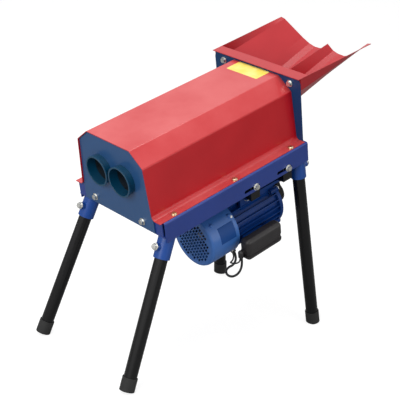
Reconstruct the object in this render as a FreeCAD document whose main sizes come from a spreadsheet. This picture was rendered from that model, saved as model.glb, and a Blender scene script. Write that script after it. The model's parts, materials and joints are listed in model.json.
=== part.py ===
"""Corn sheller on four splayed legs, with two cob channels, a belt-driven rotor and a hanging motor.

Lengths are in millimetres. Every piece is first placed in the machine's own axes: X runs along the
rails from the cob outlet to the feed hopper, Y across, Z square to the rails, with zero at the front
edge of the hood on top of the rails. The whole machine is then tilted so that it stands on its feet,
and shifted so that the origin is the middle of its footprint on the floor.
"""
import FreeCAD, Part
import math
import os
import re
import Sketcher
from FreeCAD import Placement, Rotation, Vector

os.makedirs("parts", exist_ok=True)
doc = FreeCAD.newDocument("CornSheller")

# Driving dimensions: one row each, with its alias and its value, or with how it follows from others
SIZES = [
    # stance
    ("tilt_angle", "14.5"),
    ("running_gap", "0.05"),
    ("seat_gap", "0.3"),
    ("arc_middle", "0.29"),
    # rails and cross members
    ("rail_half", "160"),
    ("rail_height", "52"),
    ("rail_flange", "34"),
    ("rail_wall", "3"),
    ("rail_bend", "4.5"),
    ("rail_start", "10"),
    ("rail_overrun", "6"),
    ("member_depth", "37"),
    ("member_wall", "3"),
    ("member_foot", "18"),
    ("member_inset", "7"),
    ("member_half", "=rail_half - member_inset"),
    # bolts and screws
    ("bolt_radius", "4"),
    ("bolt_head_radius", "7"),
    ("bolt_head_height", "5.5"),
    ("washer_radius", "9"),
    ("washer_wall", "1.6"),
    ("nut_height", "6.5"),
    ("thread_end", "2"),
    ("bolt_play", "0.5"),
    ("screw_radius", "3"),
    ("screw_head_radius", "6.5"),
    ("screw_head_height", "3.5"),
    ("screw_washer_rim", "1"),
    ("screw_washer_wall", "0.8"),
    ("screw_thread", "9"),
    # hood
    ("hood_length", "480"),
    ("hood_set_in", "4"),
    ("hood_flange_half", "=rail_half - hood_set_in"),
    ("hood_height", "163"),
    ("hood_chamfer_drop", "33"),
    ("hood_chamfer_height", "=hood_height - hood_chamfer_drop"),
    ("hood_wall", "1.5"),
    ("hood_bend", "6"),
    ("hood_foot_bend", "11"),
    ("hood_screw_count", "3"),
    ("hood_screw_first", "49"),
    ("hood_screw_last", "43"),
    ("hood_screw_pitch", "=(hood_length - hood_screw_first - hood_screw_last) / (hood_screw_count - 1)"),
    ("hood_screw_inset", "8"),
    ("hood_screw_half", "=hood_flange_half - hood_screw_inset"),
    ("hood_screw_gap", "0.5"),
    ("hood_side_half",
     "=hood_screw_half - screw_head_radius - screw_washer_rim - hood_screw_gap - hood_foot_bend"),
    ("hood_side_lean", "11"),
    ("hood_chamfer_half", "=hood_side_half - hood_side_lean"),
    ("hood_chamfer_width", "41"),
    ("hood_top_half", "=hood_chamfer_half - hood_chamfer_width"),
    # rotor and its bearings
    ("rotor_height", "14"),
    ("shaft_radius", "10"),
    ("bearing_radius", "20"),
    ("bearing_width", "14"),
    ("block_width", "24"),
    ("block_wall", "8"),
    ("block_radius", "=bearing_radius + block_wall"),
    ("block_bolt_gap", "1"),
    ("block_bolt_half", "=block_radius + bolt_head_radius + block_bolt_gap"),
    ("block_lug", "8"),
    ("block_half", "=block_bolt_half + block_lug"),
    ("block_foot", "9"),
    ("block_base", "2"),
    ("block_drop", "=block_radius + block_base"),
    ("beam_width", "34"),
    ("beam_height", "10"),
    ("pulley_width", "20"),
    ("belt_width", "12"),
    ("belt_member_gap", "8"),
    ("drive_x", "=hood_length - member_foot - belt_width / 2 - belt_member_gap"),
    ("pulley_gap", "2"),
    ("front_block_x", "40"),
    ("rear_block_x", "=drive_x - pulley_width / 2 - pulley_gap - beam_width / 2"),
    ("drum_front_gap", "7"),
    ("drum_rear_gap", "2"),
    ("drum_start", "=front_block_x + beam_width / 2 + drum_front_gap"),
    ("drum_length", "=rear_block_x - beam_width / 2 - drum_rear_gap - drum_start"),
    ("drum_radius", "32"),
    ("drum_wall", "3"),
    ("drum_end_wall", "6"),
    ("bar_count", "4"),
    ("bar_angle", "45"),
    ("bar_radius", "5"),
    ("bar_sink", "1"),
    ("rotor_reach", "=drum_radius + 2 * bar_radius - bar_sink"),
    ("shaft_stub", "4"),
    ("shaft_start", "=front_block_x - block_width / 2 - shaft_stub"),
    ("shaft_tail", "2"),
    ("shaft_end", "=drive_x + pulley_width / 2 + shaft_tail"),
    # front plate, cob channels and outlets
    ("plate_wall", "3"),
    ("plate_gap", "0.5"),
    ("feed_tongue_gap", "2"),
    ("feed_tongue_half", "=rail_half - rail_flange - feed_tongue_gap"),
    ("plate_bolt_inset", "37"),
    ("plate_bolt_half", "=feed_tongue_half - plate_bolt_inset"),
    ("plate_bolt_drop", "20"),
    ("channel_radius", "34"),
    ("channel_wall", "2"),
    ("channel_gap", "5"),
    ("channel_half", "=channel_radius + channel_wall + channel_gap"),
    ("rotor_pulley_radius", "35"),
    ("channel_pulley_gap", "2.5"),
    ("channel_reach", "=rotor_pulley_radius + channel_pulley_gap + channel_radius + channel_wall"),
    ("channel_height", "=rotor_height + sqrt(channel_reach ^ 2 - channel_half ^ 2)"),
    ("channel_open_gap", "5"),
    ("channel_open_end", "10"),
    ("outlet_reach", "18"),
    ("outlet_lip", "2"),
    ("outlet_lip_width", "4"),
    # feed plate
    ("feed_plate_overhang", "19"),
    ("feed_plate_half", "=hood_side_half + feed_plate_overhang"),
    ("feed_plate_rise", "7"),
    ("feed_plate_height", "=hood_height + feed_plate_rise"),
    ("feed_plate_corner", "14"),
    ("feed_bolt_inset", "33"),
    ("feed_bolt_half", "=feed_plate_half - feed_bolt_inset"),
    ("feed_bolt_drop", "19"),
    ("feed_bolt_height", "=feed_plate_height - feed_bolt_drop"),
    # hopper
    ("hopper_reach", "256"),
    ("hopper_wall", "1.5"),
    ("hopper_overhang", "2"),
    ("hopper_half", "=feed_plate_half + hopper_overhang"),
    ("hopper_widening", "7"),
    ("hopper_end_half", "=hopper_half + hopper_widening"),
    ("hopper_wall_lean", "1"),
    ("hopper_end_slant", "16"),
    ("hopper_end_turn", "12"),
    ("hopper_end_roll", "3"),
    ("hopper_lip_depth", "25"),
    ("hopper_lip_overhang", "5"),
    ("hopper_floor_drop", "3"),
    ("hopper_floor", "=channel_height - channel_radius - hopper_floor_drop"),
    ("hopper_rise", "66"),
    ("hopper_end_floor", "=hopper_floor + hopper_rise"),
    ("hopper_ridge_rise", "58"),
    ("hopper_ridge", "=hopper_floor + hopper_ridge_rise"),
    ("hopper_end_ridge_rise", "24"),
    ("hopper_end_ridge", "=hopper_end_floor + hopper_end_ridge_rise"),
    ("hopper_back_height", "42"),
    # legs
    ("leg_radius", "16"),
    ("leg_wall", "1.5"),
    ("leg_insertion", "47"),
    ("leg_fit", "0.4"),
    ("socket_wall", "3.5"),
    ("socket_front_x", "1.6"),
    ("socket_rear_inset", "14"),
    ("socket_rear_x", "=hood_length - socket_rear_inset"),
    ("socket_inset", "18"),
    ("socket_half", "=rail_half - socket_inset"),
    ("socket_head", "10"),
    ("socket_drop", "=member_depth + member_wall + leg_insertion + socket_head"),
    ("front_leg_reach", "322"),
    ("front_leg_rake", "0.62"),
    ("rear_leg_rake", "0.03"),
    ("leg_splay", "0.09"),
    ("foot_wall", "2.5"),
    ("foot_radius", "=leg_radius + foot_wall"),
    ("foot_height", "33"),
    ("foot_sole", "6"),
    ("foot_flat", "2.5"),
    ("clamp_rise", "26"),
    ("clamp_boss_radius", "8.5"),
    ("clamp_boss_height", "9"),
    # concave
    ("concave_gap", "5"),
    ("concave_radius", "=rotor_reach + concave_gap"),
    ("concave_wall", "2"),
    ("concave_rib_wall", "3"),
    ("concave_rib_margin", "7.4"),
    ("concave_ribs", "4"),
    ("concave_bars", "9"),
    ("concave_spread", "140"),
    ("concave_bar_radius", "2.5"),
    ("concave_outer", "=concave_radius + 2 * concave_bar_radius + concave_wall"),
    # kernel deflector
    ("deflector_wall", "1.5"),
    ("deflector_start", "150"),
    ("deflector_gap", "6"),
    ("deflector_end", "=drive_x - pulley_width / 2 - deflector_gap"),
    ("deflector_inset", "22"),
    ("deflector_half", "=rail_half - deflector_inset"),
    ("deflector_apron", "22"),
    ("deflector_kick", "11"),
    ("deflector_bend", "4.5"),
    # motor hangers
    ("hanger_bolt_rise", "12"),
    ("hanger_bolt_drop", "=rail_height - hanger_bolt_rise"),
    ("hanger_ear_rise", "12"),
    ("hanger_ear", "=hanger_bolt_drop - hanger_ear_rise"),
    ("concave_floor_gap", "5.5"),
    ("hanger_top", "=concave_outer - rotor_height + concave_floor_gap + deflector_wall"),
    ("hanger_depth", "30"),
    ("hanger_bottom", "=hanger_top + hanger_depth"),
    ("hanger_width", "30"),
    ("hanger_wall", "4"),
    ("hanger_front_step", "49"),
    ("hanger_rear_step", "10"),
    ("slot_front", "34"),
    ("slot_rear", "8"),
    ("slot_half_width", "=bolt_radius + bolt_play"),
    # belt drive
    ("motor_pulley_radius", "28"),
    ("groove_depth", "10"),
    ("belt_depth", "8"),
    ("groove_floor", "7"),
    # motor: its radii, then its stations from the belt back to the fan
    ("stator_radius", "55"),
    ("housing_wall", "5"),
    ("fin_height", "8"),
    ("fin_count", "26"),
    ("fin_wall", "2.6"),
    ("motor_outer", "=stator_radius + housing_wall + fin_height"),
    ("foot_plate_half", "56"),
    ("foot_plate_width", "24"),
    ("foot_plate_wall", "8"),
    ("motor_inset", "24"),
    ("motor_side", "=rail_half - motor_inset - foot_plate_half - foot_plate_width / 2"),
    ("motor_hang_gap", "19"),
    ("motor_drop", "=hanger_bottom + motor_outer + motor_hang_gap"),
    ("motor_pulley_gap", "18"),
    ("drive_shield_length", "18"),
    ("housing_end", "=drive_x - pulley_width / 2 - motor_pulley_gap - drive_shield_length"),
    ("stator_length", "152"),
    ("housing_start", "=housing_end - stator_length"),
    ("cover_length", "90"),
    ("cover_start", "=housing_start - cover_length"),
    ("shield_wall", "12"),
    ("fan_shield_start", "=housing_start - shield_wall"),
    ("hanger_front_x", "=housing_start + hanger_front_step"),
    ("hanger_rear_x", "=housing_end + hanger_rear_step"),
    ("stator_bore", "33"),
    ("core_inset", "18"),
    ("stator_core_length", "=stator_length - 2 * core_inset"),
    ("air_gap", "0.6"),
    ("rotor_core_radius", "=stator_bore - air_gap"),
    ("rotor_core_inset", "8"),
    ("rotor_core_length", "=stator_core_length - 2 * rotor_core_inset"),
    ("motor_shaft_radius", "9"),
    ("motor_bearing_radius", "19"),
    ("motor_bearing_width", "12"),
    ("shield_rim", "10"),
    ("shield_dome_wall", "23"),
    ("lug_count", "4"),
    ("lug_angle", "45"),
    ("lug_sink", "2"),
    ("lug_circle", "=motor_outer - lug_sink"),
    ("lug_radius", "8"),
    ("lug_length", "16"),
    ("shield_bolt_radius", "3"),
    ("shield_head_radius", "5.8"),
    ("shield_head_height", "4"),
    # fan cover and fan
    ("cover_margin", "4"),
    ("cover_radius", "=motor_outer + cover_margin"),
    ("cover_wall", "1.8"),
    ("cover_round", "7"),
    ("cover_flare", "2.4"),
    ("grille_margin", "12"),
    ("grille_radius", "=cover_radius - grille_margin"),
    ("slot_long", "10"),
    ("slot_short", "5.5"),
    ("slot_rib", "2.5"),
    ("slot_slant", "45"),
    ("cover_screw_count", "4"),
    ("cover_screw_angle", "48"),
    ("cover_screw_radius", "2"),
    ("cover_screw_head", "3.4"),
    ("cover_screw_depth", "6"),
    ("cover_screw_gap", "0.2"),
    ("cover_screw_x", "=housing_start - cover_flare - cover_screw_head - cover_screw_gap"),
    ("fan_set_in", "30"),
    ("fan_start", "=cover_start + fan_set_in"),
    ("fan_depth", "26"),
    ("fan_hub_radius", "14"),
    ("fan_wall", "2"),
    ("fan_blades", "8"),
    ("fan_gap", "12.2"),
    ("fan_radius", "=cover_radius - cover_wall - fan_gap"),
    ("fan_blade_sink", "1"),
    ("motor_shaft_stub", "4"),
    ("motor_shaft_start", "=fan_start - motor_shaft_stub"),
    # capacitor box and leads
    ("box_set_out", "9"),
    ("box_start", "=housing_start - box_set_out"),
    ("box_length", "122"),
    ("box_gap", "6"),
    ("box_inner", "=motor_side + cover_radius + box_gap"),
    ("box_depth", "32"),
    ("box_below_axis", "3"),
    ("box_top", "=motor_drop + box_below_axis"),
    ("box_height", "45"),
    ("box_lid_height", "13"),
    ("box_corner", "11"),
    ("box_wall", "3.5"),
    ("box_band_height", "13"),
    ("box_band_depth", "1.6"),
    ("box_boss_rim", "1"),
    ("box_pad_start", "22"),
    ("box_pad_length", "67"),
    ("capacitor_play", "1.5"),
    ("capacitor_radius", "=box_depth / 2 - box_wall - capacitor_play"),
    ("capacitor_end_gap", "16"),
    ("capacitor_length", "=box_length - 2 * capacitor_end_gap"),
    ("gland_radius", "7"),
    ("gland_length", "12"),
    ("gland_step", "1.5"),
    ("gland_boss_wall", "3"),
    ("gland_elbow", "8"),
    ("inlet_length", "4"),
    ("gland_angle", "246"),
    ("motor_gland_gap", "1"),
    ("motor_gland_x", "=housing_start + gland_radius + gland_boss_wall + motor_gland_gap"),
    ("box_gland_rise", "11"),
    ("box_gland_drop", "=box_top + box_height - box_gland_rise"),
    ("box_gland_inset", "12"),
    ("box_gland_side", "=box_inner + box_gland_inset"),
    ("lead_radius", "3"),
    ("thin_lead_radius", "2"),
]

sheet = doc.addObject("Spreadsheet::Sheet", "Sizes")
for row, (alias, number) in enumerate(SIZES, start=1):
    sheet.set("A%d" % row, alias)
    sheet.set("B%d" % row, number)
    sheet.setAlias("B%d" % row, alias)
doc.recompute()

ALIASES = sorted((alias for alias, _ in SIZES), key=len, reverse=True)
ALIAS_WORD = re.compile(r"\b(" + "|".join(ALIASES) + r")\b")
finished = []


def value(expression):
    """The number that an expression of sheet aliases stands for."""
    number = sheet.evalExpression(str(expression))
    return float(getattr(number, "Value", number))


def bound(expression):
    """The same expression with every alias written as a cell of the sheet."""
    return ALIAS_WORD.sub(r"Sizes.\1", str(expression))


def bind(item, **sizes):
    """Tie properties of an object to expressions of the sheet."""
    for name, expression in sizes.items():
        item.setExpression(name, bound(expression))
    return item


def point(x, y, z):
    return Vector(value(x), value(y), value(z))


def keep(item, label):
    """Take an object as a finished piece under its own name."""
    item.Label = label
    finished.append(item)
    return item


def plane_of(body, role):
    return [feature for feature in body.Origin.OriginFeatures if feature.Role == role][0]


def draw_outline(sketch, corners):
    """A closed run of lines whose corners are fixed by expressions."""
    first = sketch.GeometryCount
    spots = [Vector(value(across), value(up), 0) for across, up in corners]
    count = len(corners)
    for index in range(count):
        sketch.addGeometry(Part.LineSegment(spots[index], spots[(index + 1) % count]), False)
    for index in range(count):
        following = first + (index + 1) % count
        sketch.addConstraint(Sketcher.Constraint("Coincident", first + index, 2, following, 1))
    for index, corner in enumerate(corners):
        for kind, expression in zip(("DistanceX", "DistanceY"), corner):
            fixed = Sketcher.Constraint(kind, -1, 1, first + index, 1, value(expression))
            number = sketch.addConstraint(fixed)
            sketch.setExpression("Constraints[%d]" % number, bound(expression))


def draw_hole(sketch, across, up, radius):
    """A circle whose centre and radius are fixed by expressions."""
    spot = Vector(value(across), value(up), 0)
    circle = sketch.addGeometry(Part.Circle(spot, Vector(0, 0, 1), value(radius)), False)
    for kind, expression in (("DistanceX", across), ("DistanceY", up)):
        fixed = Sketcher.Constraint(kind, -1, 1, circle, 3, value(expression))
        number = sketch.addConstraint(fixed)
        sketch.setExpression("Constraints[%d]" % number, bound(expression))
    number = sketch.addConstraint(Sketcher.Constraint("Radius", circle, value(radius)))
    sketch.setExpression("Constraints[%d]" % number, bound(radius))


def padded(name, role, corners, length, at=("0", "0", "0"), holes=()):
    """A body made by padding an outline with round holes off one of its own planes."""
    body = doc.addObject("PartDesign::Body", name)
    sketch = body.newObject("Sketcher::SketchObject", name + "_sketch")
    sketch.AttachmentSupport = [(plane_of(body, role), "")]
    sketch.MapMode = "FlatFace"
    draw_outline(sketch, corners)
    for hole in holes:
        draw_hole(sketch, *hole)
    pad = body.newObject("PartDesign::Pad", name + "_pad")
    pad.Profile = sketch
    bind(pad, Length=length)
    body.Placement = Placement(point(*at), Rotation())
    doc.recompute()
    return body


def turned(name, corners, side="0", height="0"):
    """A body of revolution about a line along X; corners give distance along and radius."""
    body = doc.addObject("PartDesign::Body", name)
    sketch = body.newObject("Sketcher::SketchObject", name + "_sketch")
    sketch.AttachmentSupport = [(plane_of(body, "XZ_Plane"), "")]
    sketch.MapMode = "FlatFace"
    draw_outline(sketch, corners)
    revolution = body.newObject("PartDesign::Revolution", name + "_turn")
    revolution.Profile = sketch
    revolution.ReferenceAxis = (sketch, ["H_Axis"])
    revolution.Angle = 360
    body.Placement = Placement(point("0", side, height), Rotation())
    doc.recompute()
    return body


def block(name, corner, size):
    """A rectangular block from its low corner."""
    item = doc.addObject("Part::Box", name)
    bind(item, Length=size[0], Width=size[1], Height=size[2])
    item.Placement = Placement(point(*corner), Rotation())
    return item


def cylinder(name, radius, length, base, direction=Vector(1, 0, 0)):
    """A round bar from its base point along a direction."""
    item = doc.addObject("Part::Cylinder", name)
    bind(item, Radius=radius, Height=length)
    start = base if isinstance(base, Vector) else point(*base)
    item.Placement = Placement(start, Rotation(Vector(0, 0, 1), direction))
    return item


def fused(name, items):
    item = doc.addObject("Part::MultiFuse", name)
    item.Shapes = items
    item.Refine = True
    doc.recompute()
    return item


def cut(name, base, tools):
    """A piece with one or more tools taken out of it."""
    item = doc.addObject("Part::Cut", name)
    item.Base = base
    item.Tool = tools[0] if len(tools) == 1 else fused(name + "_tools", tools)
    doc.recompute()
    return item


def group(name, items):
    """Separate solids that share one name."""
    item = doc.addObject("Part::Compound", name)
    item.Links = items
    doc.recompute()
    return item


def shaped(name, shape):
    """A piece whose shape comes from the sheet through the geometry functions."""
    item = doc.addObject("Part::Feature", name)
    item.Shape = shape
    return item


def rounded_line(spots, radii):
    """An open line through points, with a tangent arc of its own radius at each inner corner."""
    edges = []
    start = spots[0]
    for index in range(1, len(spots) - 1):
        corner = spots[index]
        back = (spots[index - 1] - corner).normalize()
        ahead = (spots[index + 1] - corner).normalize()
        half_angle = back.getAngle(ahead) / 2
        if radii[index - 1] <= 0:
            edges.append(Part.LineSegment(start, corner).toShape())
            start = corner
            continue
        setback = radii[index - 1] / math.tan(half_angle)
        centre_line = (back + ahead).normalize()
        nearest = corner + centre_line * (radii[index - 1] / math.sin(half_angle) - radii[index - 1])
        enter = corner + back * setback
        leave = corner + ahead * setback
        edges.append(Part.LineSegment(start, enter).toShape())
        edges.append(Part.Arc(enter, nearest, leave).toShape())
        start = leave
    edges.append(Part.LineSegment(start, spots[-1]).toShape())
    return Part.Wire(edges)


def folded(spots, radii, wall, length):
    """Sheet metal folded along X: a line across the sheet, thickened and drawn out."""
    strip = rounded_line(spots, radii).makeOffset2D(wall, 2, True, True)
    return strip.extrude(Vector(length, 0, 0))


# Bolts. A bolt's own Z points out of its head, and its underside sits at the origin.
def bolt_shape(shank, with_nut=0.0, washer=True):
    """A hexagon bolt with a washer under its head and, where it has one, a nut on its far end."""
    radius = value("bolt_radius")
    lift = value("washer_wall") if washer else 0.0
    head = Part.makePolygon([
        Vector(value("bolt_head_radius") * math.cos(math.radians(60 * turn)),
               value("bolt_head_radius") * math.sin(math.radians(60 * turn)), lift)
        for turn in range(7)])
    body = Part.Face(head).extrude(Vector(0, 0, value("bolt_head_height")))
    body = body.fuse(Part.makeCylinder(radius, shank + lift, Vector(0, 0, -shank)))
    if washer:
        body = body.fuse(Part.makeCylinder(value("washer_radius"), lift))
    if with_nut:
        nut = Part.makePolygon([
            Vector(value("bolt_head_radius") * math.cos(math.radians(60 * turn)),
                   value("bolt_head_radius") * math.sin(math.radians(60 * turn)), -with_nut)
            for turn in range(7)])
        body = body.fuse(Part.Face(nut).extrude(Vector(0, 0, -value("nut_height"))))
    return body.removeSplitter()


def set_out(shape, base, direction):
    """A copy of a shape moved so that its Z points along a direction."""
    return shape.transformed(Placement(base, Rotation(Vector(0, 0, 1), direction)).toMatrix(), True)


# Rails: an angle of sheet along each side, its flange turned inwards on top
def rail(side, label):
    half = value("rail_half") * side
    inner = half - value("rail_flange") * side
    spots = [Vector(0, half, -value("rail_height")), Vector(0, half, 0), Vector(0, inner, 0)]
    wall = value("rail_wall")
    length = value("hood_length + rail_overrun - rail_start")
    shape = folded(spots, [value("rail_bend")], -wall * side, length)
    shape.translate(point("rail_start", "0", "0"))
    for hanger in ("hanger_front_x", "hanger_rear_x"):
        low = value(hanger + " - slot_front")
        high = value(hanger + " + slot_rear")
        radius = value("slot_half_width")
        height = -value("hanger_bolt_drop")
        reach = 4 * wall
        start = half - reach / 2
        slot = Part.makeBox(high - low, reach, 2 * radius, Vector(low, start, height - radius))
        for middle in (low, high):
            slot = slot.fuse(Part.makeCylinder(radius, reach, Vector(middle, start, height), Vector(0, 1, 0)))
        shape = shape.cut(slot)
    for number in range(int(value("hood_screw_count"))):
        middle = value("hood_screw_first + hood_screw_pitch * %d" % number)
        hole = Part.makeCylinder(value("screw_radius + running_gap"), 2 * wall,
                                 Vector(middle, value("hood_screw_half") * side, -1.5 * wall))
        shape = shape.cut(hole)
    return keep(shaped(label + "_shape", shape), label)


rail_left = rail(1, "rail_left")
rail_right = rail(-1, "rail_right")

# Front cross member: an upstanding plate across the rail ends, with a foot turned inwards
front_bolt_holes = [
    (side + "plate_bolt_half", "-plate_bolt_drop", "bolt_radius + bolt_play") for side in ("", "-")]
member_face = padded(
    "front_member_face", "YZ_Plane",
    [("-member_half", "-member_depth"), ("member_half", "-member_depth"),
     ("member_half", "0"), ("-member_half", "0")],
    "member_wall", ("rail_start - member_wall", "0", "0"), front_bolt_holes)
member_foot = block(
    "front_member_foot",
    ("rail_start - member_wall", "-(rail_half - rail_wall)", "-member_depth - member_wall"),
    ("member_foot", "2 * (rail_half - rail_wall)", "member_wall"))
keep(fused("front_member", [member_face, member_foot]), "front_cross_member")

# Rear cross member: an angle between the rail webs, just in front of the feed plate
rear_face = padded(
    "rear_member_face", "YZ_Plane",
    [("-(rail_half - rail_wall)", "-member_depth"), ("rail_half - rail_wall", "-member_depth"),
     ("rail_half - rail_wall", "-rail_bend"), ("-(rail_half - rail_wall)", "-rail_bend")],
    "member_wall", ("hood_length - member_wall", "0", "0"), front_bolt_holes)
rear_foot = block(
    "rear_member_foot",
    ("hood_length - member_foot", "-(rail_half - rail_wall)", "-member_depth - member_wall"),
    ("member_foot", "2 * (rail_half - rail_wall)", "member_wall"))
keep(fused("rear_member", [rear_face, rear_foot]), "rear_cross_member")

# Bearing beams: two flat bars between the rail webs that carry the rotor's bearing blocks
BEAM_TOP = "rotor_height - block_drop"
beams = []
for end in ("front", "rear"):
    beam_bar = block(
        end + "_beam_bar",
        (end + "_block_x - beam_width / 2", "-(rail_half - rail_wall)", BEAM_TOP + " - beam_height"),
        ("beam_width", "2 * (rail_half - rail_wall)", "beam_height"))
    beam_holes = [
        cylinder(end + "_beam_hole" + word, "bolt_radius + bolt_play", "beam_height",
                 (end + "_block_x", side + "block_bolt_half", BEAM_TOP + " - beam_height"),
                 Vector(0, 0, 1))
        for side, word in (("", "_left"), ("-", "_right"))]
    beams.append(cut(end + "_bearing_beam", beam_bar, beam_holes))
keep(group("bearing_beam_pair", beams), "bearing_beams")


# Hood: one sheet folded into a flat top, two chamfers, two sides and two flanges
def hood_corners(side):
    return [
        Vector(0, value("hood_flange_half") * side, value("hood_wall")),
        Vector(0, value("hood_side_half") * side, value("hood_wall")),
        Vector(0, value("hood_chamfer_half") * side, value("hood_chamfer_height")),
        Vector(0, value("hood_top_half") * side, value("hood_height"))]


hood_line = hood_corners(-1) + hood_corners(1)[::-1]
bend = value("hood_bend")
foot_bend = value("hood_foot_bend")
hood_shape = folded(
    hood_line, [foot_bend, bend, bend, bend, bend, foot_bend], value("hood_wall"), value("hood_length"))
for side in (-1, 1):
    for number in range(int(value("hood_screw_count"))):
        middle = value("hood_screw_first + hood_screw_pitch * %d" % number)
        hood_shape = hood_shape.cut(Part.makeCylinder(
            value("screw_radius + running_gap"), value("hood_wall") * 3,
            Vector(middle, value("hood_screw_half") * side, -value("hood_wall"))))
keep(shaped("hood_sheet", hood_shape), "hood")

# Hood screws: pan heads on a washer, through the flange into the rails
pan_screws = []
for side in (-1, 1):
    for number in range(int(value("hood_screw_count"))):
        spot = Vector(value("hood_screw_first + hood_screw_pitch * %d" % number),
                      value("hood_screw_half") * side, value("hood_wall"))
        washer_top = value("screw_washer_wall")
        screw = Part.makeCylinder(value("screw_head_radius + screw_washer_rim"), washer_top, spot)
        crown = Part.makeCylinder(value("screw_head_radius"), value("screw_head_height"),
                                  spot + Vector(0, 0, washer_top))
        crown = crown.makeFillet(value("screw_head_height / 2"), [crown.Edges[0]])
        shank_length = value("hood_wall + screw_thread")
        shank = Part.makeCylinder(value("screw_radius"), shank_length, spot - Vector(0, 0, shank_length))
        pan_screws.append(screw.fuse([crown, shank]).removeSplitter())
keep(shaped("hood_screw_set", Part.makeCompound(pan_screws)), "hood_screws")


# Front plate: closes the outlet end inside the hood, with two outlet holes
def hood_mouth():
    """The closed outline of the hood's outside, carried down to the bottom of the front plate."""
    inset = value("hood_wall + plate_gap")
    low = -value("member_depth") - inset
    right = [Vector(0, -value("hood_side_half"), low)] + hood_corners(-1)[1:]
    left = [Vector(0, value("hood_side_half"), low)] + hood_corners(1)[1:]
    line = right + left[::-1]
    return Part.makePolygon(line + [line[0]]).makeOffset2D(-inset, 2)


plate_face = Part.Face(hood_mouth())
front_plate_shape = plate_face.extrude(Vector(value("plate_wall"), 0, 0))
front_plate_shape.translate(Vector(value("rail_start - member_wall - plate_wall"), 0, 0))
outlet_outer = value("channel_radius + channel_wall")
for side in (-1, 1):
    front_plate_shape = front_plate_shape.cut(Part.makeCylinder(
        outlet_outer, value("plate_wall") * 4,
        Vector(0, value("channel_half") * side, value("channel_height")), Vector(1, 0, 0)))
    front_plate_shape = front_plate_shape.cut(Part.makeCylinder(
        value("bolt_radius + bolt_play"), value("plate_wall") * 4,
        Vector(0, value("plate_bolt_half") * side, -value("plate_bolt_drop")), Vector(1, 0, 0)))
keep(shaped("front_plate_sheet", front_plate_shape), "front_plate")

# Feed plate: closes the feed end, stands on the rail flanges and drops a tongue between them
feed_outline = [
    ("-feed_tongue_half", "-member_depth"), ("feed_tongue_half", "-member_depth"),
    ("feed_tongue_half", "0"), ("feed_plate_half", "0"),
    ("feed_plate_half", "feed_plate_height - feed_plate_corner"),
    ("feed_plate_half - feed_plate_corner * arc_middle",
     "feed_plate_height - feed_plate_corner * arc_middle"),
    ("feed_plate_half - feed_plate_corner", "feed_plate_height"),
    ("-(feed_plate_half - feed_plate_corner)", "feed_plate_height"),
    ("-(feed_plate_half - feed_plate_corner * arc_middle)",
     "feed_plate_height - feed_plate_corner * arc_middle"),
    ("-feed_plate_half", "feed_plate_height - feed_plate_corner"),
    ("-feed_plate_half", "0"), ("-feed_tongue_half", "0")]
feed_holes = [(side + "channel_half", "channel_height", "channel_radius + channel_wall")
              for side in ("", "-")]
feed_holes += [(side + "feed_bolt_half", "feed_bolt_height", "bolt_radius + bolt_play")
               for side in ("", "-")]
feed_holes += front_bolt_holes
keep(padded("feed_plate_sheet", "YZ_Plane", feed_outline, "plate_wall",
            ("hood_length", "0", "0"), feed_holes), "feed_plate")

# Plate bolts: two through each end plate, low down into the cross members or high up into the hopper
plate_bolts = []
member_grip = value("plate_wall + member_wall")
hopper_grip = value("plate_wall + hopper_wall")
nut_end = value("nut_height + thread_end")
for side in (-1, 1):
    low_spot = Vector(value("rail_start - member_wall - plate_wall"),
                      value("plate_bolt_half") * side, -value("plate_bolt_drop"))
    plate_bolts.append(set_out(bolt_shape(member_grip + nut_end, member_grip), low_spot, Vector(-1, 0, 0)))
    tongue_spot = Vector(value("hood_length + plate_wall"), value("plate_bolt_half") * side,
                         -value("plate_bolt_drop"))
    plate_bolts.append(set_out(bolt_shape(member_grip + nut_end, member_grip), tongue_spot, Vector(1, 0, 0)))
    high_spot = Vector(value("hood_length"), value("feed_bolt_half") * side, value("feed_bolt_height"))
    plate_bolts.append(set_out(bolt_shape(hopper_grip + nut_end, hopper_grip), high_spot, Vector(-1, 0, 0)))
keep(shaped("plate_bolt_set", Part.makeCompound(plate_bolts)), "plate_bolts")


# Hopper: a sheet with two troughs that fall towards the feed holes, drawn from one section to another
def hopper_section(along, slant, corners):
    """One section of the troughs across Y, leaning by the slant per height below the top."""
    top = value("feed_plate_height")
    right = [Vector(0, -y, z) for y, z in corners]
    left = [Vector(0, y, z) for y, z in corners[::-1]]
    line = Part.makePolygon(right + left[1:])
    strip = line.makeOffset2D(value("hopper_wall"), 2, True, True)
    edges = [Vector(along + slant * (top - vertex.Point.z), vertex.Point.y, vertex.Point.z)
             for vertex in strip.OuterWire.OrderedVertexes]
    return Part.makePolygon(edges + [edges[0]])


# Trough corners from the outer wall to the ridge: how far out from the middle of the channel and how
# far up from the floor, as shares of the channel's radius
NEAR_TROUGH = [(1.25, 1.09), (0.72, 0.34), (0.25, 0.05), (-0.3, 0.05), (-0.75, 0.4)]
FAR_TROUGH = [(1.45, 0.58), (0.85, 0.175), (0.3, 0.0), (-0.3, 0.03), (-0.75, 0.194)]
half = value("hopper_half - hopper_wall")
near_half = half - value("hopper_wall_lean")
end_half = value("hopper_end_half - hopper_wall")
floor = value("hopper_floor")
end_floor = value("hopper_end_floor")
middle = value("channel_half")
radius = value("channel_radius")
rim = value("feed_plate_height + hopper_wall")
near = [(half, rim), (near_half, value("feed_bolt_height - washer_radius - hopper_wall"))]
near += [(middle + radius * out, floor + radius * up) for out, up in NEAR_TROUGH]
near.append((0, value("hopper_ridge")))
far = [(end_half, rim), (end_half - value("hopper_end_turn"), rim - value("hopper_end_roll"))]
far += [(middle + radius * out, end_floor + radius * up) for out, up in FAR_TROUGH]
far.append((0, value("hopper_end_ridge")))
hopper_start = value("hood_length + plate_wall")
hopper_end = hopper_start + value("hopper_reach")
lean = value("hopper_end_slant / (feed_plate_height - hopper_end_floor)")
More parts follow.
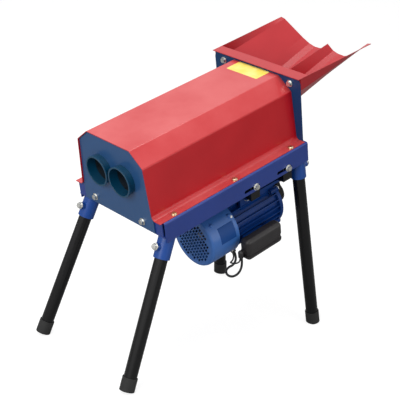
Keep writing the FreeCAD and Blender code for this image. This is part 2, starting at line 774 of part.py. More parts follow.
trough = Part.makeLoft([hopper_section(hopper_start, 0, near), hopper_section(hopper_end, lean, far)],
                       True, True)
lip_low = Vector(hopper_start - value("plate_wall + hopper_lip_overhang"), -value("hopper_half"),
                 value("feed_plate_height"))
lip = Part.makeBox(value("plate_wall + hopper_lip_overhang + hopper_lip_depth"), 2 * value("hopper_half"),
                   value("hopper_wall"), lip_low)
back_low = value("feed_plate_height - hopper_back_height")
back = Part.makeBox(value("hopper_wall"), 2 * near_half, value("hopper_back_height"),
                    Vector(hopper_start, -near_half, back_low))
for side in (-1, 1):
    back = back.cut(Part.makeCylinder(
        value("bolt_radius + bolt_play"), value("hopper_wall") * 4,
        Vector(hopper_start - value("hopper_wall"), value("feed_bolt_half") * side,
               value("feed_bolt_height")), Vector(1, 0, 0)))
keep(shaped("hopper_sheet", trough.fuse([lip, back]).removeSplitter()), "hopper")

# Outlet tubes: two short spouts through the front plate, with a rolled rim
for side, label in (("", "outlet_tube_left"), ("-", "outlet_tube_right")):
    tube_start = "rail_start - member_wall - plate_wall - outlet_reach"
    keep(turned(label + "_body", [
        (tube_start, "channel_radius"),
        ("rail_start", "channel_radius"),
        ("rail_start", "channel_radius + channel_wall"),
        (tube_start + " + outlet_lip_width", "channel_radius + channel_wall"),
        (tube_start + " + outlet_lip_width", "channel_radius + channel_wall + outlet_lip"),
        (tube_start, "channel_radius + channel_wall + outlet_lip")],
        side + "channel_half", "channel_height"), label)

# Cob channels: the tube carried on inside, open along the rotor
open_radius = value("rotor_reach + channel_open_gap")
open_end = value("channel_open_end")
for side, label in ((1, "cob_channel_left"), (-1, "cob_channel_right")):
    start = value("rail_start")
    length = value("hood_length + plate_wall") - start
    centre = Vector(start, value("channel_half") * side, value("channel_height"))
    outer = Part.makeCylinder(value("channel_radius + channel_wall"), length, centre, Vector(1, 0, 0))
    inner = Part.makeCylinder(value("channel_radius"), length, centre, Vector(1, 0, 0))
    opening = Part.makeCylinder(
        open_radius, value("drum_length") + 2 * open_end,
        Vector(value("drum_start") - open_end, 0, value("rotor_height")), Vector(1, 0, 0))
    keep(shaped(label + "_sheet", outer.cut(inner).cut(opening)), label)

# Bearing blocks: a cast foot and a round housing on each beam
block_shapes = []
bearing_shapes = []
for end in ("front", "rear"):
    middle_x = value(end + "_block_x")
    width = value("block_width")
    low_x = middle_x - width / 2
    base_z = value(BEAM_TOP)
    foot_block = Part.makeBox(width, 2 * value("block_half"), value("block_foot"),
                              Vector(low_x, -value("block_half"), base_z))
    axis_point = Vector(low_x, 0, value("rotor_height"))
    round_block = Part.makeCylinder(value("block_radius"), width, axis_point, Vector(1, 0, 0))
    neck = Part.makeBox(width, 2 * value("block_radius"), value("block_drop"),
                        Vector(low_x, -value("block_radius"), base_z))
    housing = foot_block.fuse([round_block, neck])
    housing = housing.cut(Part.makeCylinder(value("bearing_radius"), width, axis_point, Vector(1, 0, 0)))
    for side in (-1, 1):
        housing = housing.cut(Part.makeCylinder(
            value("bolt_radius + bolt_play"), value("block_foot") * 3,
            Vector(middle_x, side * value("block_bolt_half"), base_z - value("block_foot"))))
    block_shapes.append(housing.removeSplitter())
    bearing_x = middle_x - value("bearing_width") / 2
    ring = Part.makeCylinder(value("bearing_radius"), value("bearing_width"),
                             Vector(bearing_x, 0, value("rotor_height")), Vector(1, 0, 0))
    bore = Part.makeCylinder(value("shaft_radius + running_gap"), value("bearing_width"),
                             Vector(bearing_x, 0, value("rotor_height")), Vector(1, 0, 0))
    bearing_shapes.append(ring.cut(bore))
keep(shaped("bearing_block_pair", Part.makeCompound(block_shapes)), "bearing_blocks")
keep(shaped("rotor_bearing_pair", Part.makeCompound(bearing_shapes)), "rotor_bearings")

# Bearing block bolts: down through the foot and the beam, with a nut below
block_bolts = []
for end in ("front", "rear"):
    for side in (-1, 1):
        spot = Vector(value(end + "_block_x"), side * value("block_bolt_half"),
                      value(BEAM_TOP + " + block_foot"))
        grip = value("block_foot + beam_height")
        block_bolts.append(set_out(
            bolt_shape(grip + value("nut_height + thread_end"), grip, washer=False), spot, Vector(0, 0, 1)))
keep(shaped("bearing_block_bolt_set", Part.makeCompound(block_bolts)), "bearing_block_bolts")

# Concave: a cage of round bars on curved ribs below the rotor
concave_start = value("front_block_x + beam_width / 2")
concave_end = value("rear_block_x - beam_width / 2")
rotor_axis_z = value("rotor_height")
inner_radius = value("concave_radius")
rib_outer = value("concave_outer")
rib_wall = value("concave_rib_wall")
rib_count = int(value("concave_ribs"))
bar_circle = inner_radius + value("concave_bar_radius")
half_spread = value("concave_spread") / 2
rib_top = (rotor_axis_z - bar_circle * math.cos(math.radians(half_spread)) + value("concave_rib_margin"))
cage = []
for number in range(rib_count):
    rib_x = concave_start + (concave_end - concave_start - rib_wall) * number / (rib_count - 1)
    rib_base = Vector(rib_x, 0, rotor_axis_z)
    ring = Part.makeCylinder(rib_outer, rib_wall, rib_base, Vector(1, 0, 0))
    ring = ring.cut(Part.makeCylinder(inner_radius, rib_wall, rib_base, Vector(1, 0, 0)))
    upper = Part.makeBox(rib_wall, 4 * rib_outer, 4 * rib_outer, Vector(rib_x, -2 * rib_outer, rib_top))
    cage.append(ring.cut(upper))
bar_count = int(value("concave_bars"))
for number in range(bar_count):
    angle = math.radians(-90 - half_spread + 2 * half_spread * number / (bar_count - 1))
    cage.append(Part.makeCylinder(
        value("concave_bar_radius"), concave_end - concave_start,
        Vector(concave_start, bar_circle * math.cos(angle), rotor_axis_z + bar_circle * math.sin(angle)),
        Vector(1, 0, 0)))
concave_shape = cage[0].fuse(cage[1:]).removeSplitter()
keep(shaped("concave_cage", concave_shape), "concave")


# Kernel deflector: a sheet lying on the motor hangers, its front end turned down towards the ground
deflector_low = value("-hanger_top")
apron = value("deflector_apron")
deflector_strip = rounded_line(
    [Vector(value("deflector_end"), 0, deflector_low), Vector(value("deflector_start"), 0, deflector_low),
     Vector(value("deflector_start - deflector_kick"), 0, deflector_low - apron)],
    [value("deflector_bend")]).makeOffset2D(-value("deflector_wall"), 2, True, True)
deflector_shape = deflector_strip.extrude(Vector(0, value("2 * deflector_half"), 0))
deflector_shape.translate(Vector(0, -value("deflector_half"), 0))
keep(shaped("deflector_sheet", deflector_shape), "kernel_deflector")

# Rotor shaft: runs in both bearing blocks and carries the drum and its pulley
keep(cylinder("rotor_shaft_bar", "shaft_radius", "shaft_end - shaft_start",
              ("shaft_start", "0", "rotor_height")), "rotor_shaft")

# Rotor drum: a tube with two end discs, open towards the shaft
DRUM_END = "(drum_start + drum_length)"
keep(turned("rotor_drum_body", [
    ("drum_start", "shaft_radius"), ("drum_start", "drum_radius"),
    (DRUM_END, "drum_radius"), (DRUM_END, "shaft_radius"),
    (DRUM_END + " - drum_end_wall", "shaft_radius"),
    (DRUM_END + " - drum_end_wall", "drum_radius - drum_wall"),
    ("drum_start + drum_end_wall", "drum_radius - drum_wall"),
    ("drum_start + drum_end_wall", "shaft_radius")], "0", "rotor_height"), "rotor_drum")

# Rotor bars: round bars welded along the drum, hollowed to sit on it
beaters = []
for number in range(int(value("bar_count"))):
    angle = math.radians(value("bar_angle") + 360 * number / value("bar_count"))
    reach = value("drum_radius + bar_radius - bar_sink")
    beaters.append(Part.makeCylinder(
        value("bar_radius"), value("drum_length"),
        Vector(value("drum_start"), reach * math.cos(angle), value("rotor_height") + reach * math.sin(angle)),
        Vector(1, 0, 0)))
drum_core = Part.makeCylinder(value("drum_radius"), value("drum_length"),
                              Vector(value("drum_start"), 0, value("rotor_height")), Vector(1, 0, 0))
keep(shaped("rotor_bar_set", Part.makeCompound([bar.cut(drum_core) for bar in beaters])), "rotor_bars")


# Pulleys: one groove each for a V-belt, on the same plane
def pulley(label, rim, bore, side, height):
    low = "(drive_x - pulley_width / 2)"
    high = "(drive_x + pulley_width / 2)"
    return keep(turned(label + "_body", [
        (low, bore), (low, rim),
        ("drive_x - belt_width / 2 - seat_gap", rim),
        ("drive_x - groove_floor / 2 - seat_gap", rim + " - groove_depth"),
        ("drive_x + groove_floor / 2 + seat_gap", rim + " - groove_depth"),
        ("drive_x + belt_width / 2 + seat_gap", rim),
        (high, rim), (high, bore)], side, height), label)


pulley("rotor_pulley", "rotor_pulley_radius", "shaft_radius", "0", "rotor_height")
pulley("motor_pulley", "motor_pulley_radius", "motor_shaft_radius", "-motor_side", "-motor_drop")


# Drive belt: a V-belt round both pulleys, clear of its grooves by a small gap
def belt_loop(depth):
    """The flat closed loop around both pulleys at a depth below their rims."""
    upper = Vector(0, 0, value("rotor_height"))
    lower = Vector(0, -value("motor_side"), -value("motor_drop"))
    large = value("rotor_pulley_radius") - depth
    small = value("motor_pulley_radius") - depth
    run = lower - upper
    bearing_angle = math.atan2(run.z, run.y)
    spread = math.acos((large - small) / run.Length)

    def spot(centre, radius, angle):
        return centre + Vector(0, radius * math.cos(angle), radius * math.sin(angle))

    low_side = bearing_angle - spread
    high_side = bearing_angle + spread
    around_large = Part.Arc(spot(upper, large, high_side), spot(upper, large, bearing_angle + math.pi),
                            spot(upper, large, low_side)).toShape()
    around_small = Part.Arc(spot(lower, small, low_side), spot(lower, small, bearing_angle),
                            spot(lower, small, high_side)).toShape()
    down = Part.makeLine(spot(upper, large, low_side), spot(lower, small, low_side))
    up = Part.makeLine(spot(lower, small, high_side), spot(upper, large, high_side))
    return Part.Wire([around_large, down, around_small, up])


def belt_slab(depth, width):
    """The full slab inside a belt loop, centred on the drive plane."""
    slab = Part.Face(belt_loop(depth)).extrude(Vector(width, 0, 0))
    slab.translate(Vector(value("drive_x") - width / 2, 0, 0))
    return slab


belt_steps = 4
belt_layers = []
for step in range(belt_steps):
    top_depth = value("belt_depth") * step / belt_steps
    low_depth = value("belt_depth") * (step + 1) / belt_steps
    groove_slope = value("(belt_width - groove_floor) / groove_depth")
    width = value("belt_width") - groove_slope * low_depth
    belt_layers.append(belt_slab(top_depth, width).cut(belt_slab(low_depth, width)))
keep(shaped("drive_belt_loop", belt_layers[0].fuse(belt_layers[1:])), "drive_belt")

# Motor hangers: two channels open upwards between the rails, each with an ear at both ends
hanger_reach = value("rail_half - rail_wall - seat_gap")
hanger_shapes = []
for name in ("hanger_front_x", "hanger_rear_x"):
    low_x = value(name + " - hanger_width / 2")
    width = value("hanger_width")
    wall = value("hanger_wall")
    bottom = -value("hanger_bottom")
    trough_block = Part.makeBox(width, 2 * hanger_reach, value("hanger_bottom - hanger_top"),
                                Vector(low_x, -hanger_reach, bottom))
    hollow = Part.makeBox(width - 2 * wall, 2 * (hanger_reach - wall), value("hanger_bottom - hanger_top"),
                          Vector(low_x + wall, -hanger_reach + wall, bottom + wall))
    channel = trough_block.cut(hollow)
    for side in (-1, 1):
        ear_low = min(side * hanger_reach, side * (hanger_reach - wall))
        ear = Part.makeBox(width, wall, value("hanger_bottom - hanger_ear"), Vector(low_x, ear_low, bottom))
        channel = channel.fuse(ear)
        hole_start = Vector(value(name), ear_low - wall, -value("hanger_bolt_drop"))
        channel = channel.cut(Part.makeCylinder(
            value("bolt_radius + bolt_play"), wall * 3, hole_start, Vector(0, 1, 0)))
        channel = channel.cut(Part.makeCylinder(
            value("bolt_radius + bolt_play"), wall * 3,
            Vector(value(name), -value("motor_side") + side * value("foot_plate_half"), bottom - wall)))
    hanger_shapes.append(channel.removeSplitter())
keep(shaped("hanger_beam_pair", Part.makeCompound(hanger_shapes)), "hanger_beams")

# Hanger bolts: through the rail slots into the ears, so that the motor can be shifted along the rails
hanger_bolts = []
for name in ("hanger_front_x", "hanger_rear_x"):
    for side in (-1, 1):
        spot = Vector(value(name), side * value("rail_half + seat_gap"), -value("hanger_bolt_drop"))
        grip = value("rail_wall + 2 * seat_gap + hanger_wall")
        hanger_bolts.append(set_out(
            bolt_shape(grip + value("nut_height + thread_end"), grip), spot, Vector(0, side, 0)))
keep(shaped("hanger_bolt_set", Part.makeCompound(hanger_bolts)), "hanger_bolts")

# Motor: everything in it is turned about one axis, under the right-hand half of the frame
motor_axis = Vector(0, -value("motor_side"), -value("motor_drop"))


def motor_tube(start, length, outer, inner):
    """A tube around the motor axis."""
    base = Vector(start, motor_axis.y, motor_axis.z)
    tube = Part.makeCylinder(outer, length, base, Vector(1, 0, 0))
    return tube.cut(Part.makeCylinder(inner, length, base, Vector(1, 0, 0)))


def around_motor(radius, angle):
    """A point at a radius and an angle about the motor axis, in the plane across it."""
    turn = math.radians(angle)
    return Vector(0, motor_axis.y + radius * math.cos(turn), motor_axis.z + radius * math.sin(turn))


# Motor housing: a finned cylinder with foot rails on top, a pad for the box and lugs for the end shield
housing_start = value("housing_start")
housing_length = value("stator_length")
housing_outer = value("stator_radius + housing_wall")
fin_outer = value("motor_outer")
housing = motor_tube(housing_start, housing_length, housing_outer, value("stator_radius"))
fin_count = int(value("fin_count"))
fins = []
for number in range(fin_count):
    fin = Part.makeBox(housing_length, value("fin_height") + 1, value("fin_wall"),
                       Vector(housing_start, housing_outer - 1, -value("fin_wall") / 2))
    fin.rotate(Vector(0, 0, 0), Vector(1, 0, 0), 360 * (number + 0.5) / fin_count)
    fin.translate(motor_axis)
    fins.append(fin)
housing = housing.fuse(fins)
foot_top = -value("hanger_bottom")
foot_width = value("foot_plate_width")
rail_start_x = value("hanger_front_x") - foot_width / 2
rail_length = value("hanger_rear_x") + foot_width / 2 - rail_start_x
core = Part.makeCylinder(value("stator_radius"), housing_length,
                         Vector(housing_start, motor_axis.y, motor_axis.z), Vector(1, 0, 0))
for side in (-1, 1):
    foot_middle = motor_axis.y + side * value("foot_plate_half")
    foot_wall = value("foot_plate_wall")
    inner_edge = side * (value("foot_plate_half") - foot_width / 2 - foot_wall)
    outer_edge = side * (value("foot_plate_half") + foot_width / 2)
    foot_rail = Part.makeBox(rail_length, foot_width + foot_wall, foot_wall,
                             Vector(rail_start_x, motor_axis.y + min(inner_edge, outer_edge),
                                    foot_top - foot_wall))
    web = Part.makeBox(housing_start + housing_length - rail_start_x, foot_wall, foot_top - motor_axis.z,
                       Vector(rail_start_x, motor_axis.y + min(inner_edge, inner_edge + side * foot_wall),
                              motor_axis.z))
    housing = housing.fuse([foot_rail, web.cut(core)])
    for name in ("hanger_front_x", "hanger_rear_x"):
        housing = housing.cut(Part.makeCylinder(
            value("bolt_radius + bolt_play"), value("foot_plate_wall") * 2,
            Vector(value(name), foot_middle, foot_top - value("foot_plate_wall") * 1.5)))
pad_height = value("box_height - box_corner - box_band_height")
pad = Part.makeBox(value("box_pad_length"), value("box_inner - motor_side"), pad_height,
                   Vector(value("box_start + box_pad_start"), -value("box_inner"),
                          -value("box_top + box_corner") - pad_height))
housing = housing.fuse(pad.cut(core))
lug_count = int(value("lug_count"))
lug_spots = [around_motor(value("lug_circle"), value("lug_angle") + 360 * number / lug_count)
             for number in range(lug_count)]
for spot in lug_spots:
    base = Vector(value("housing_end - lug_length"), spot.y, spot.z)
    lug = Part.makeCylinder(value("lug_radius"), value("lug_length"), base, Vector(1, 0, 0))
    bolt_hole = Part.makeCylinder(value("shield_bolt_radius"), value("lug_length"), base, Vector(1, 0, 0))
    housing = housing.fuse(lug.cut(core)).cut(bolt_hole)
gland_turn = value("gland_angle")
gland_direction = (around_motor(1, gland_turn) - motor_axis).normalize()
boss_base = around_motor(housing_outer - value("housing_wall") / 2, gland_turn)
boss = Part.makeCylinder(value("gland_radius + gland_boss_wall"), value("fin_height + housing_wall / 2"),
                         Vector(value("motor_gland_x"), boss_base.y, boss_base.z), gland_direction)
housing = housing.fuse(boss)
keep(shaped("motor_housing_casting", housing.removeSplitter()), "motor_housing")

# Fan cover screws: round heads on the rim of the cover, turned into the edge of the fan-end shield
screw_x = value("cover_screw_x")
screw_depth = value("cover_wall + cover_screw_depth")
screw_shapes = []
screw_holes = []
for number in range(int(value("cover_screw_count"))):
    angle = value("cover_screw_angle") + 360 * number / value("cover_screw_count")
    outside = around_motor(value("cover_radius"), angle)
    outside.x = screw_x
    direction = (around_motor(1, angle) - motor_axis).normalize()
    inside = outside - direction * screw_depth
    shank = Part.makeCylinder(value("cover_screw_radius"), screw_depth, inside, direction)
    head = Part.makeCylinder(value("cover_screw_head"), value("cover_screw_radius"), outside, direction)
    seat = motor_tube(screw_x - value("cover_screw_head"), 2 * value("cover_screw_head"),
                      value("cover_radius"), value("cover_radius / 2"))
    screw_shapes.append(shank.fuse(head.cut(seat)))
    screw_holes.append(shank)
keep(shaped("fan_cover_screw_set", Part.makeCompound(screw_shapes)), "fan_cover_screws")

# Fan-end shield: a thick disc with the seat of the first bearing, inside the rim of the fan cover
shield_blank = turned("fan_end_shield_blank", [
    ("fan_shield_start", "motor_bearing_radius"),
    ("fan_shield_start", "cover_radius - cover_wall - running_gap"),
    ("housing_start", "cover_radius - cover_wall - running_gap"),
    ("housing_start", "motor_bearing_radius")], "-motor_side", "-motor_drop")
keep(shaped("fan_end_shield_disc", shield_blank.Shape.cut(screw_holes)), "fan_end_shield")

# Drive-end shield: a domed disc with the seat of the second bearing and four lugs
shield_start = value("housing_end")
shield_length = value("drive_shield_length")
shield_rim = value("shield_rim")
drive_shield = motor_tube(shield_start, shield_rim, fin_outer, value("motor_bearing_radius"))
drive_shield = drive_shield.fuse(
    motor_tube(shield_start, shield_length, value("motor_bearing_radius + shield_dome_wall"),
               value("motor_bearing_radius")))
for spot in lug_spots:
    base = Vector(shield_start, spot.y, spot.z)
    lug = Part.makeCylinder(value("lug_radius"), shield_rim, base, Vector(1, 0, 0))
    bolt_hole = Part.makeCylinder(value("shield_bolt_radius"), shield_length, base, Vector(1, 0, 0))
    drive_shield = drive_shield.fuse(lug).cut(bolt_hole)
keep(shaped("drive_end_shield_casting", drive_shield.removeSplitter()), "drive_end_shield")

# Shield bolts: four small hexagon bolts through the lugs
shield_bolts = []
for spot in lug_spots:
    shank = Part.makeCylinder(value("shield_bolt_radius"), value("lug_length + shield_rim"),
                              Vector(shield_start - value("lug_length"), spot.y, spot.z), Vector(1, 0, 0))
    head = Part.Face(Part.makePolygon([
        Vector(0, value("shield_head_radius") * math.cos(math.radians(60 * turn)),
               value("shield_head_radius") * math.sin(math.radians(60 * turn)))
        for turn in range(7)])).extrude(Vector(value("shield_head_height"), 0, 0))
    head.translate(Vector(shield_start + shield_rim, spot.y, spot.z))
    shield_bolts.append(shank.fuse(head).removeSplitter())
keep(shaped("shield_bolt_set", Part.makeCompound(shield_bolts)), "shield_bolts")

# Fan cover: a pressed cup with a grid of slanting slots in its end and a slightly flared rim
cover_profile = [
    ("cover_start", "0"),
    ("cover_start", "cover_radius - cover_round"),
    ("cover_start + cover_round * arc_middle", "cover_radius - cover_round * arc_middle"),
    ("cover_start + cover_round", "cover_radius"),
    ("housing_start - cover_flare", "cover_radius"),
    ("housing_start", "cover_radius + cover_flare / 2"),
    ("housing_start", "cover_radius - cover_wall"),
    ("cover_start + cover_round", "cover_radius - cover_wall"),
    ("cover_start + cover_wall + cover_round * arc_middle",
     "cover_radius - cover_wall - cover_round * arc_middle"),
    ("cover_start + cover_wall", "cover_radius - cover_wall - cover_round"),
    ("cover_start + cover_wall", "0")]
cover_body = turned("fan_cover_blank", cover_profile, "-motor_side", "-motor_drop")
grille_limit = value("grille_radius")
slot_length = value("slot_long")
slot_width = value("slot_short")
across_pitch = value("slot_short + slot_rib")
along_pitch = value("slot_long + slot_rib")
rows = int(grille_limit / along_pitch) + 1
columns = int(grille_limit / across_pitch) + 1
slots = []
for row in range(-rows, rows + 1):
    for column in range(-columns, columns + 1):
        shift = 0.5 * (row % 2)
        along_row = (column + shift) * across_pitch
        along_slot = row * along_pitch
        if math.hypot(abs(along_row) + slot_width / 2, abs(along_slot) + slot_length / 2) > grille_limit:
            continue
        slot = Part.makeBox(value("cover_wall") * 3, slot_width, slot_length,
                            Vector(value("cover_start - cover_wall"), along_row - slot_width / 2,
                                   along_slot - slot_length / 2))
        slot.rotate(Vector(0, 0, 0), Vector(1, 0, 0), value("slot_slant"))
        slot.translate(motor_axis)
        slots.append(slot)
keep(shaped("fan_cover_cup", cover_body.Shape.cut(slots + screw_holes)), "fan_cover")

# Motor foot bolts: up through the feet into the hangers
foot_bolts = []
for name in ("hanger_front_x", "hanger_rear_x"):
    for side in (-1, 1):
        spot = Vector(value(name), motor_axis.y + side * value("foot_plate_half"),
                      foot_top - value("foot_plate_wall"))
        grip = value("foot_plate_wall + hanger_wall")
        foot_bolts.append(set_out(
            bolt_shape(grip + value("nut_height + thread_end"), grip), spot, Vector(0, 0, -1)))
keep(shaped("motor_foot_bolt_set", Part.makeCompound(foot_bolts)), "motor_foot_bolts")

# Stator core, motor shaft, rotor core and the two bearings
core_start = housing_start + (housing_length - value("stator_core_length")) / 2
keep(shaped("stator_core_ring", motor_tube(
    core_start, value("stator_core_length"), value("stator_radius"), value("stator_bore"))), "stator_core")
keep(cylinder("motor_shaft_bar", "motor_shaft_radius", "shaft_end - motor_shaft_start",
              ("motor_shaft_start", "-motor_side", "-motor_drop")), "motor_shaft")
keep(shaped("rotor_core_cylinder", motor_tube(
    housing_start + (housing_length - value("rotor_core_length")) / 2, value("rotor_core_length"),
    value("rotor_core_radius"), value("motor_shaft_radius"))), "rotor_core")
motor_bearing_starts = [value("fan_shield_start") + (value("shield_wall") - value("motor_bearing_width")) / 2,
                        shield_start + (shield_length - value("motor_bearing_width")) / 2]
keep(shaped("motor_bearing_pair", Part.makeCompound([
    motor_tube(start, value("motor_bearing_width"), value("motor_bearing_radius"),
               value("motor_shaft_radius + running_gap"))
    for start in motor_bearing_starts])), "motor_bearings")

# Cooling fan: a hub and a disc with straight radial blades, on the motor shaft under the fan cover
fan_x = value("fan_start")
hub = motor_tube(fan_x, value("fan_depth"), value("fan_hub_radius"), value("motor_shaft_radius"))
disc = motor_tube(fan_x + value("fan_depth - fan_wall"), value("fan_wall"), value("fan_radius"),
                  value("motor_shaft_radius"))
fan = hub.fuse(disc)
blade_root = value("fan_hub_radius - fan_blade_sink")
for number in range(int(value("fan_blades"))):
    blade = Part.makeBox(value("fan_depth"), value("fan_radius - fan_blade_sink") - blade_root,
                         value("fan_wall"), Vector(fan_x, blade_root, -value("fan_wall") / 2))
    blade.rotate(Vector(0, 0, 0), Vector(1, 0, 0), 360 * number / value("fan_blades"))
    blade.translate(motor_axis)
    fan = fan.fuse(blade)
keep(shaped("cooling_fan_moulding", fan.removeSplitter()), "cooling_fan")


# Capacitor box: a deep shell open below, with a sunk band above the seam, closed by a shallow lid
def rounded_block(low, size, corner):
    """A block with all its edges and corners rounded by one radius."""
    body = Part.makeBox(size.x, size.y, size.z, low)
    return body.makeFillet(corner, body.Edges)


box_low = Vector(value("box_start"), -value("box_inner + box_depth"),
                 -value("box_top + box_height + box_lid_height"))
box_size = Vector(value("box_length"), value("box_depth"), value("box_height + box_lid_height"))
box_wall = value("box_wall")
whole_box = rounded_block(box_low, box_size, value("box_corner"))
hollow_low = box_low + Vector(box_wall, box_wall, box_wall)
hollow_size = box_size - Vector(2 * box_wall, 2 * box_wall, 2 * box_wall)
box_hollow = rounded_block(hollow_low, hollow_size, value("box_corner - box_wall"))
lid_top = box_low.z + value("box_lid_height")
below_seam = Part.makeBox(box_size.x * 3, box_size.y * 3, box_size.z,
                          Vector(box_low.x - box_size.x, box_low.y - box_size.y, lid_top - box_size.z))
band_depth = value("box_band_depth")
band_core = rounded_block(box_low + Vector(band_depth, band_depth, 0),
                          box_size - Vector(2 * band_depth, 2 * band_depth, 0),
                          value("box_corner") - band_depth)
band = Part.makeBox(box_size.x * 3, box_size.y * 3, value("box_band_height"),
                    Vector(box_low.x - box_size.x, box_low.y - box_size.y, lid_top)).cut(band_core)
shell = whole_box.cut(box_hollow)
gland_z = -value("box_gland_drop")
gland_y = -value("box_gland_side")
end_bosses = [Part.makeCylinder(value("gland_radius + box_boss_rim"), box_wall,
                                Vector(start_x, gland_y, gland_z), Vector(1, 0, 0))
              for start_x in (box_low.x, box_low.x + box_size.x - box_wall)]
gland_hole = Part.makeCylinder(value("gland_radius - gland_step"), box_size.x * 2,
                               Vector(box_low.x - box_size.x / 2, gland_y, gland_z), Vector(1, 0, 0))
box_shape = shell.cut([below_seam, band]).fuse(end_bosses).cut(gland_hole).removeSplitter()
keep(shaped("capacitor_box_shell", box_shape), "capacitor_box")
lid_shape = shell.common(below_seam)
keep(shaped("capacitor_box_cover", lid_shape), "capacitor_box_lid")
can_start = box_low.x + (box_size.x - value("capacitor_length")) / 2
keep(cylinder("capacitor_can", "capacitor_radius", "capacitor_length",
              Vector(can_start, box_low.y + box_size.y / 2,
                     -value("box_top + box_wall + capacitor_radius")), Vector(1, 0, 0)), "capacitor")

# Cable glands: an elbow at the front end of the box, a short inlet at its rear end and one under the motor
gland_radius = value("gland_radius")
neck_radius = value("gland_radius - gland_step")
elbow = Vector(box_low.x - value("gland_elbow"), gland_y, gland_z)
elbow_gland = Part.makeCylinder(neck_radius, value("gland_elbow") + box_wall, elbow, Vector(1, 0, 0)).fuse([
    Part.makeSphere(gland_radius, elbow),
    Part.makeCylinder(gland_radius, value("gland_length"), elbow, Vector(0, 0, -1))])
inlet_base = Vector(box_low.x + box_size.x, gland_y, gland_z)
inlet_gland = Part.makeCylinder(gland_radius, value("inlet_length"), inlet_base, Vector(1, 0, 0)).fuse(
    Part.makeCylinder(neck_radius, box_wall, inlet_base, Vector(-1, 0, 0)))
gland_base = around_motor(fin_outer, gland_turn)
gland_base.x = value("motor_gland_x")
motor_gland = Part.makeCylinder(gland_radius, value("gland_length"), gland_base, gland_direction)
keep(shaped("cable_gland_set", Part.makeCompound(
    [elbow_gland.removeSplitter(), inlet_gland.removeSplitter(), motor_gland])), "cable_glands")


# Leads: a thick and a thin one hang in loops from the box to the gland under the motor
def cord_tube(name, spots, radius):
    """A round tube along straight runs joined by tangent arcs; prints the smallest arc radius."""
    radii = []
    for index in range(1, len(spots) - 1):
        back = spots[index - 1] - spots[index]
        ahead = spots[index + 1] - spots[index]
        half_turn = (math.pi - back.getAngle(ahead)) / 2
        radii.append(0.45 * min(back.Length, ahead.Length) / math.tan(half_turn))
    path = rounded_line(spots, radii)
    section = Part.Wire([Part.Circle(spots[0], spots[1] - spots[0], radius).toShape()])
    tube = path.makePipeShell([section], True, False)
    expected = math.pi * radius * radius * path.Length
    print("%s: length %.0f, radii %s, volume ratio %.4f" % (
        name, path.Length, " ".join("%.0f" % size for size in radii), tube.Volume / expected))
    return tube


THICK_ROUTE = [
    (233.0, -160.0, -212.0), (233.0, -160.0, -225.0), (229.5, -160.0, -242.0), (222.0, -155.6, -257.0),
    (212.9, -145.1, -266.8), (209.6, -130.9, -268.9), (213.2, -118.9, -267.6), (221.7, -111.0, -266.2),
    (233.1, -108.5, -265.1), (245.2, -112.4, -263.7), (256.5, -110.5, -258.0), (263.0, -105.6, -247.5),
    (263.0, -100.5, -236.1)]
THIN_ROUTE = [
    (233.0, -154.5, -212.0), (233.0, -154.5, -219.5), (232.0, -151.5, -229.0), (230.0, -143.0, -236.5),
    (229.5, -131.5, -241.5), (230.7, -120.4, -245.1), (236.3, -112.4, -250.9), (246.3, -109.2, -252.6),
    (253.4, -106.6, -249.4), (257.5, -103.6, -243.2), (257.5, -100.5, -236.1)]
keep(shaped("motor_lead_tube", cord_tube(
    "motor_lead", [Vector(*spot) for spot in THICK_ROUTE], value("lead_radius"))), "motor_lead")
keep(shaped("thin_lead_tube", cord_tube(
    "thin_lead", [Vector(*spot) for spot in THIN_ROUTE], value("thin_lead_radius"))), "thin_lead")


# Legs: each stands in a short socket under the frame, splayed, with a rubber cap cut level with the floor
tilt_turn = math.radians(value("tilt_angle"))
floor_normal = Vector(math.sin(tilt_turn), 0, math.cos(tilt_turn))
beyond = value("hood_length + hopper_reach + 2 * rail_half")
rail_shapes = [rail_left.Shape, rail_right.Shape]


def leg_line(end, side):
    """Mouth of the socket and direction of the leg, away from the frame."""
    mouth = Vector(value("socket_%s_x" % end), side * value("socket_half"), -value("socket_drop"))
    direction = Vector(-value("%s_leg_rake" % end), side * value("leg_splay"), -1).normalize()
    return mouth, direction


def sole_depth(direction):
    """How far the lowest point of a foot lies below its centre, square to the floor."""
    lean = direction.getAngle(floor_normal * -1)
    return value("foot_radius") * math.sin(lean)


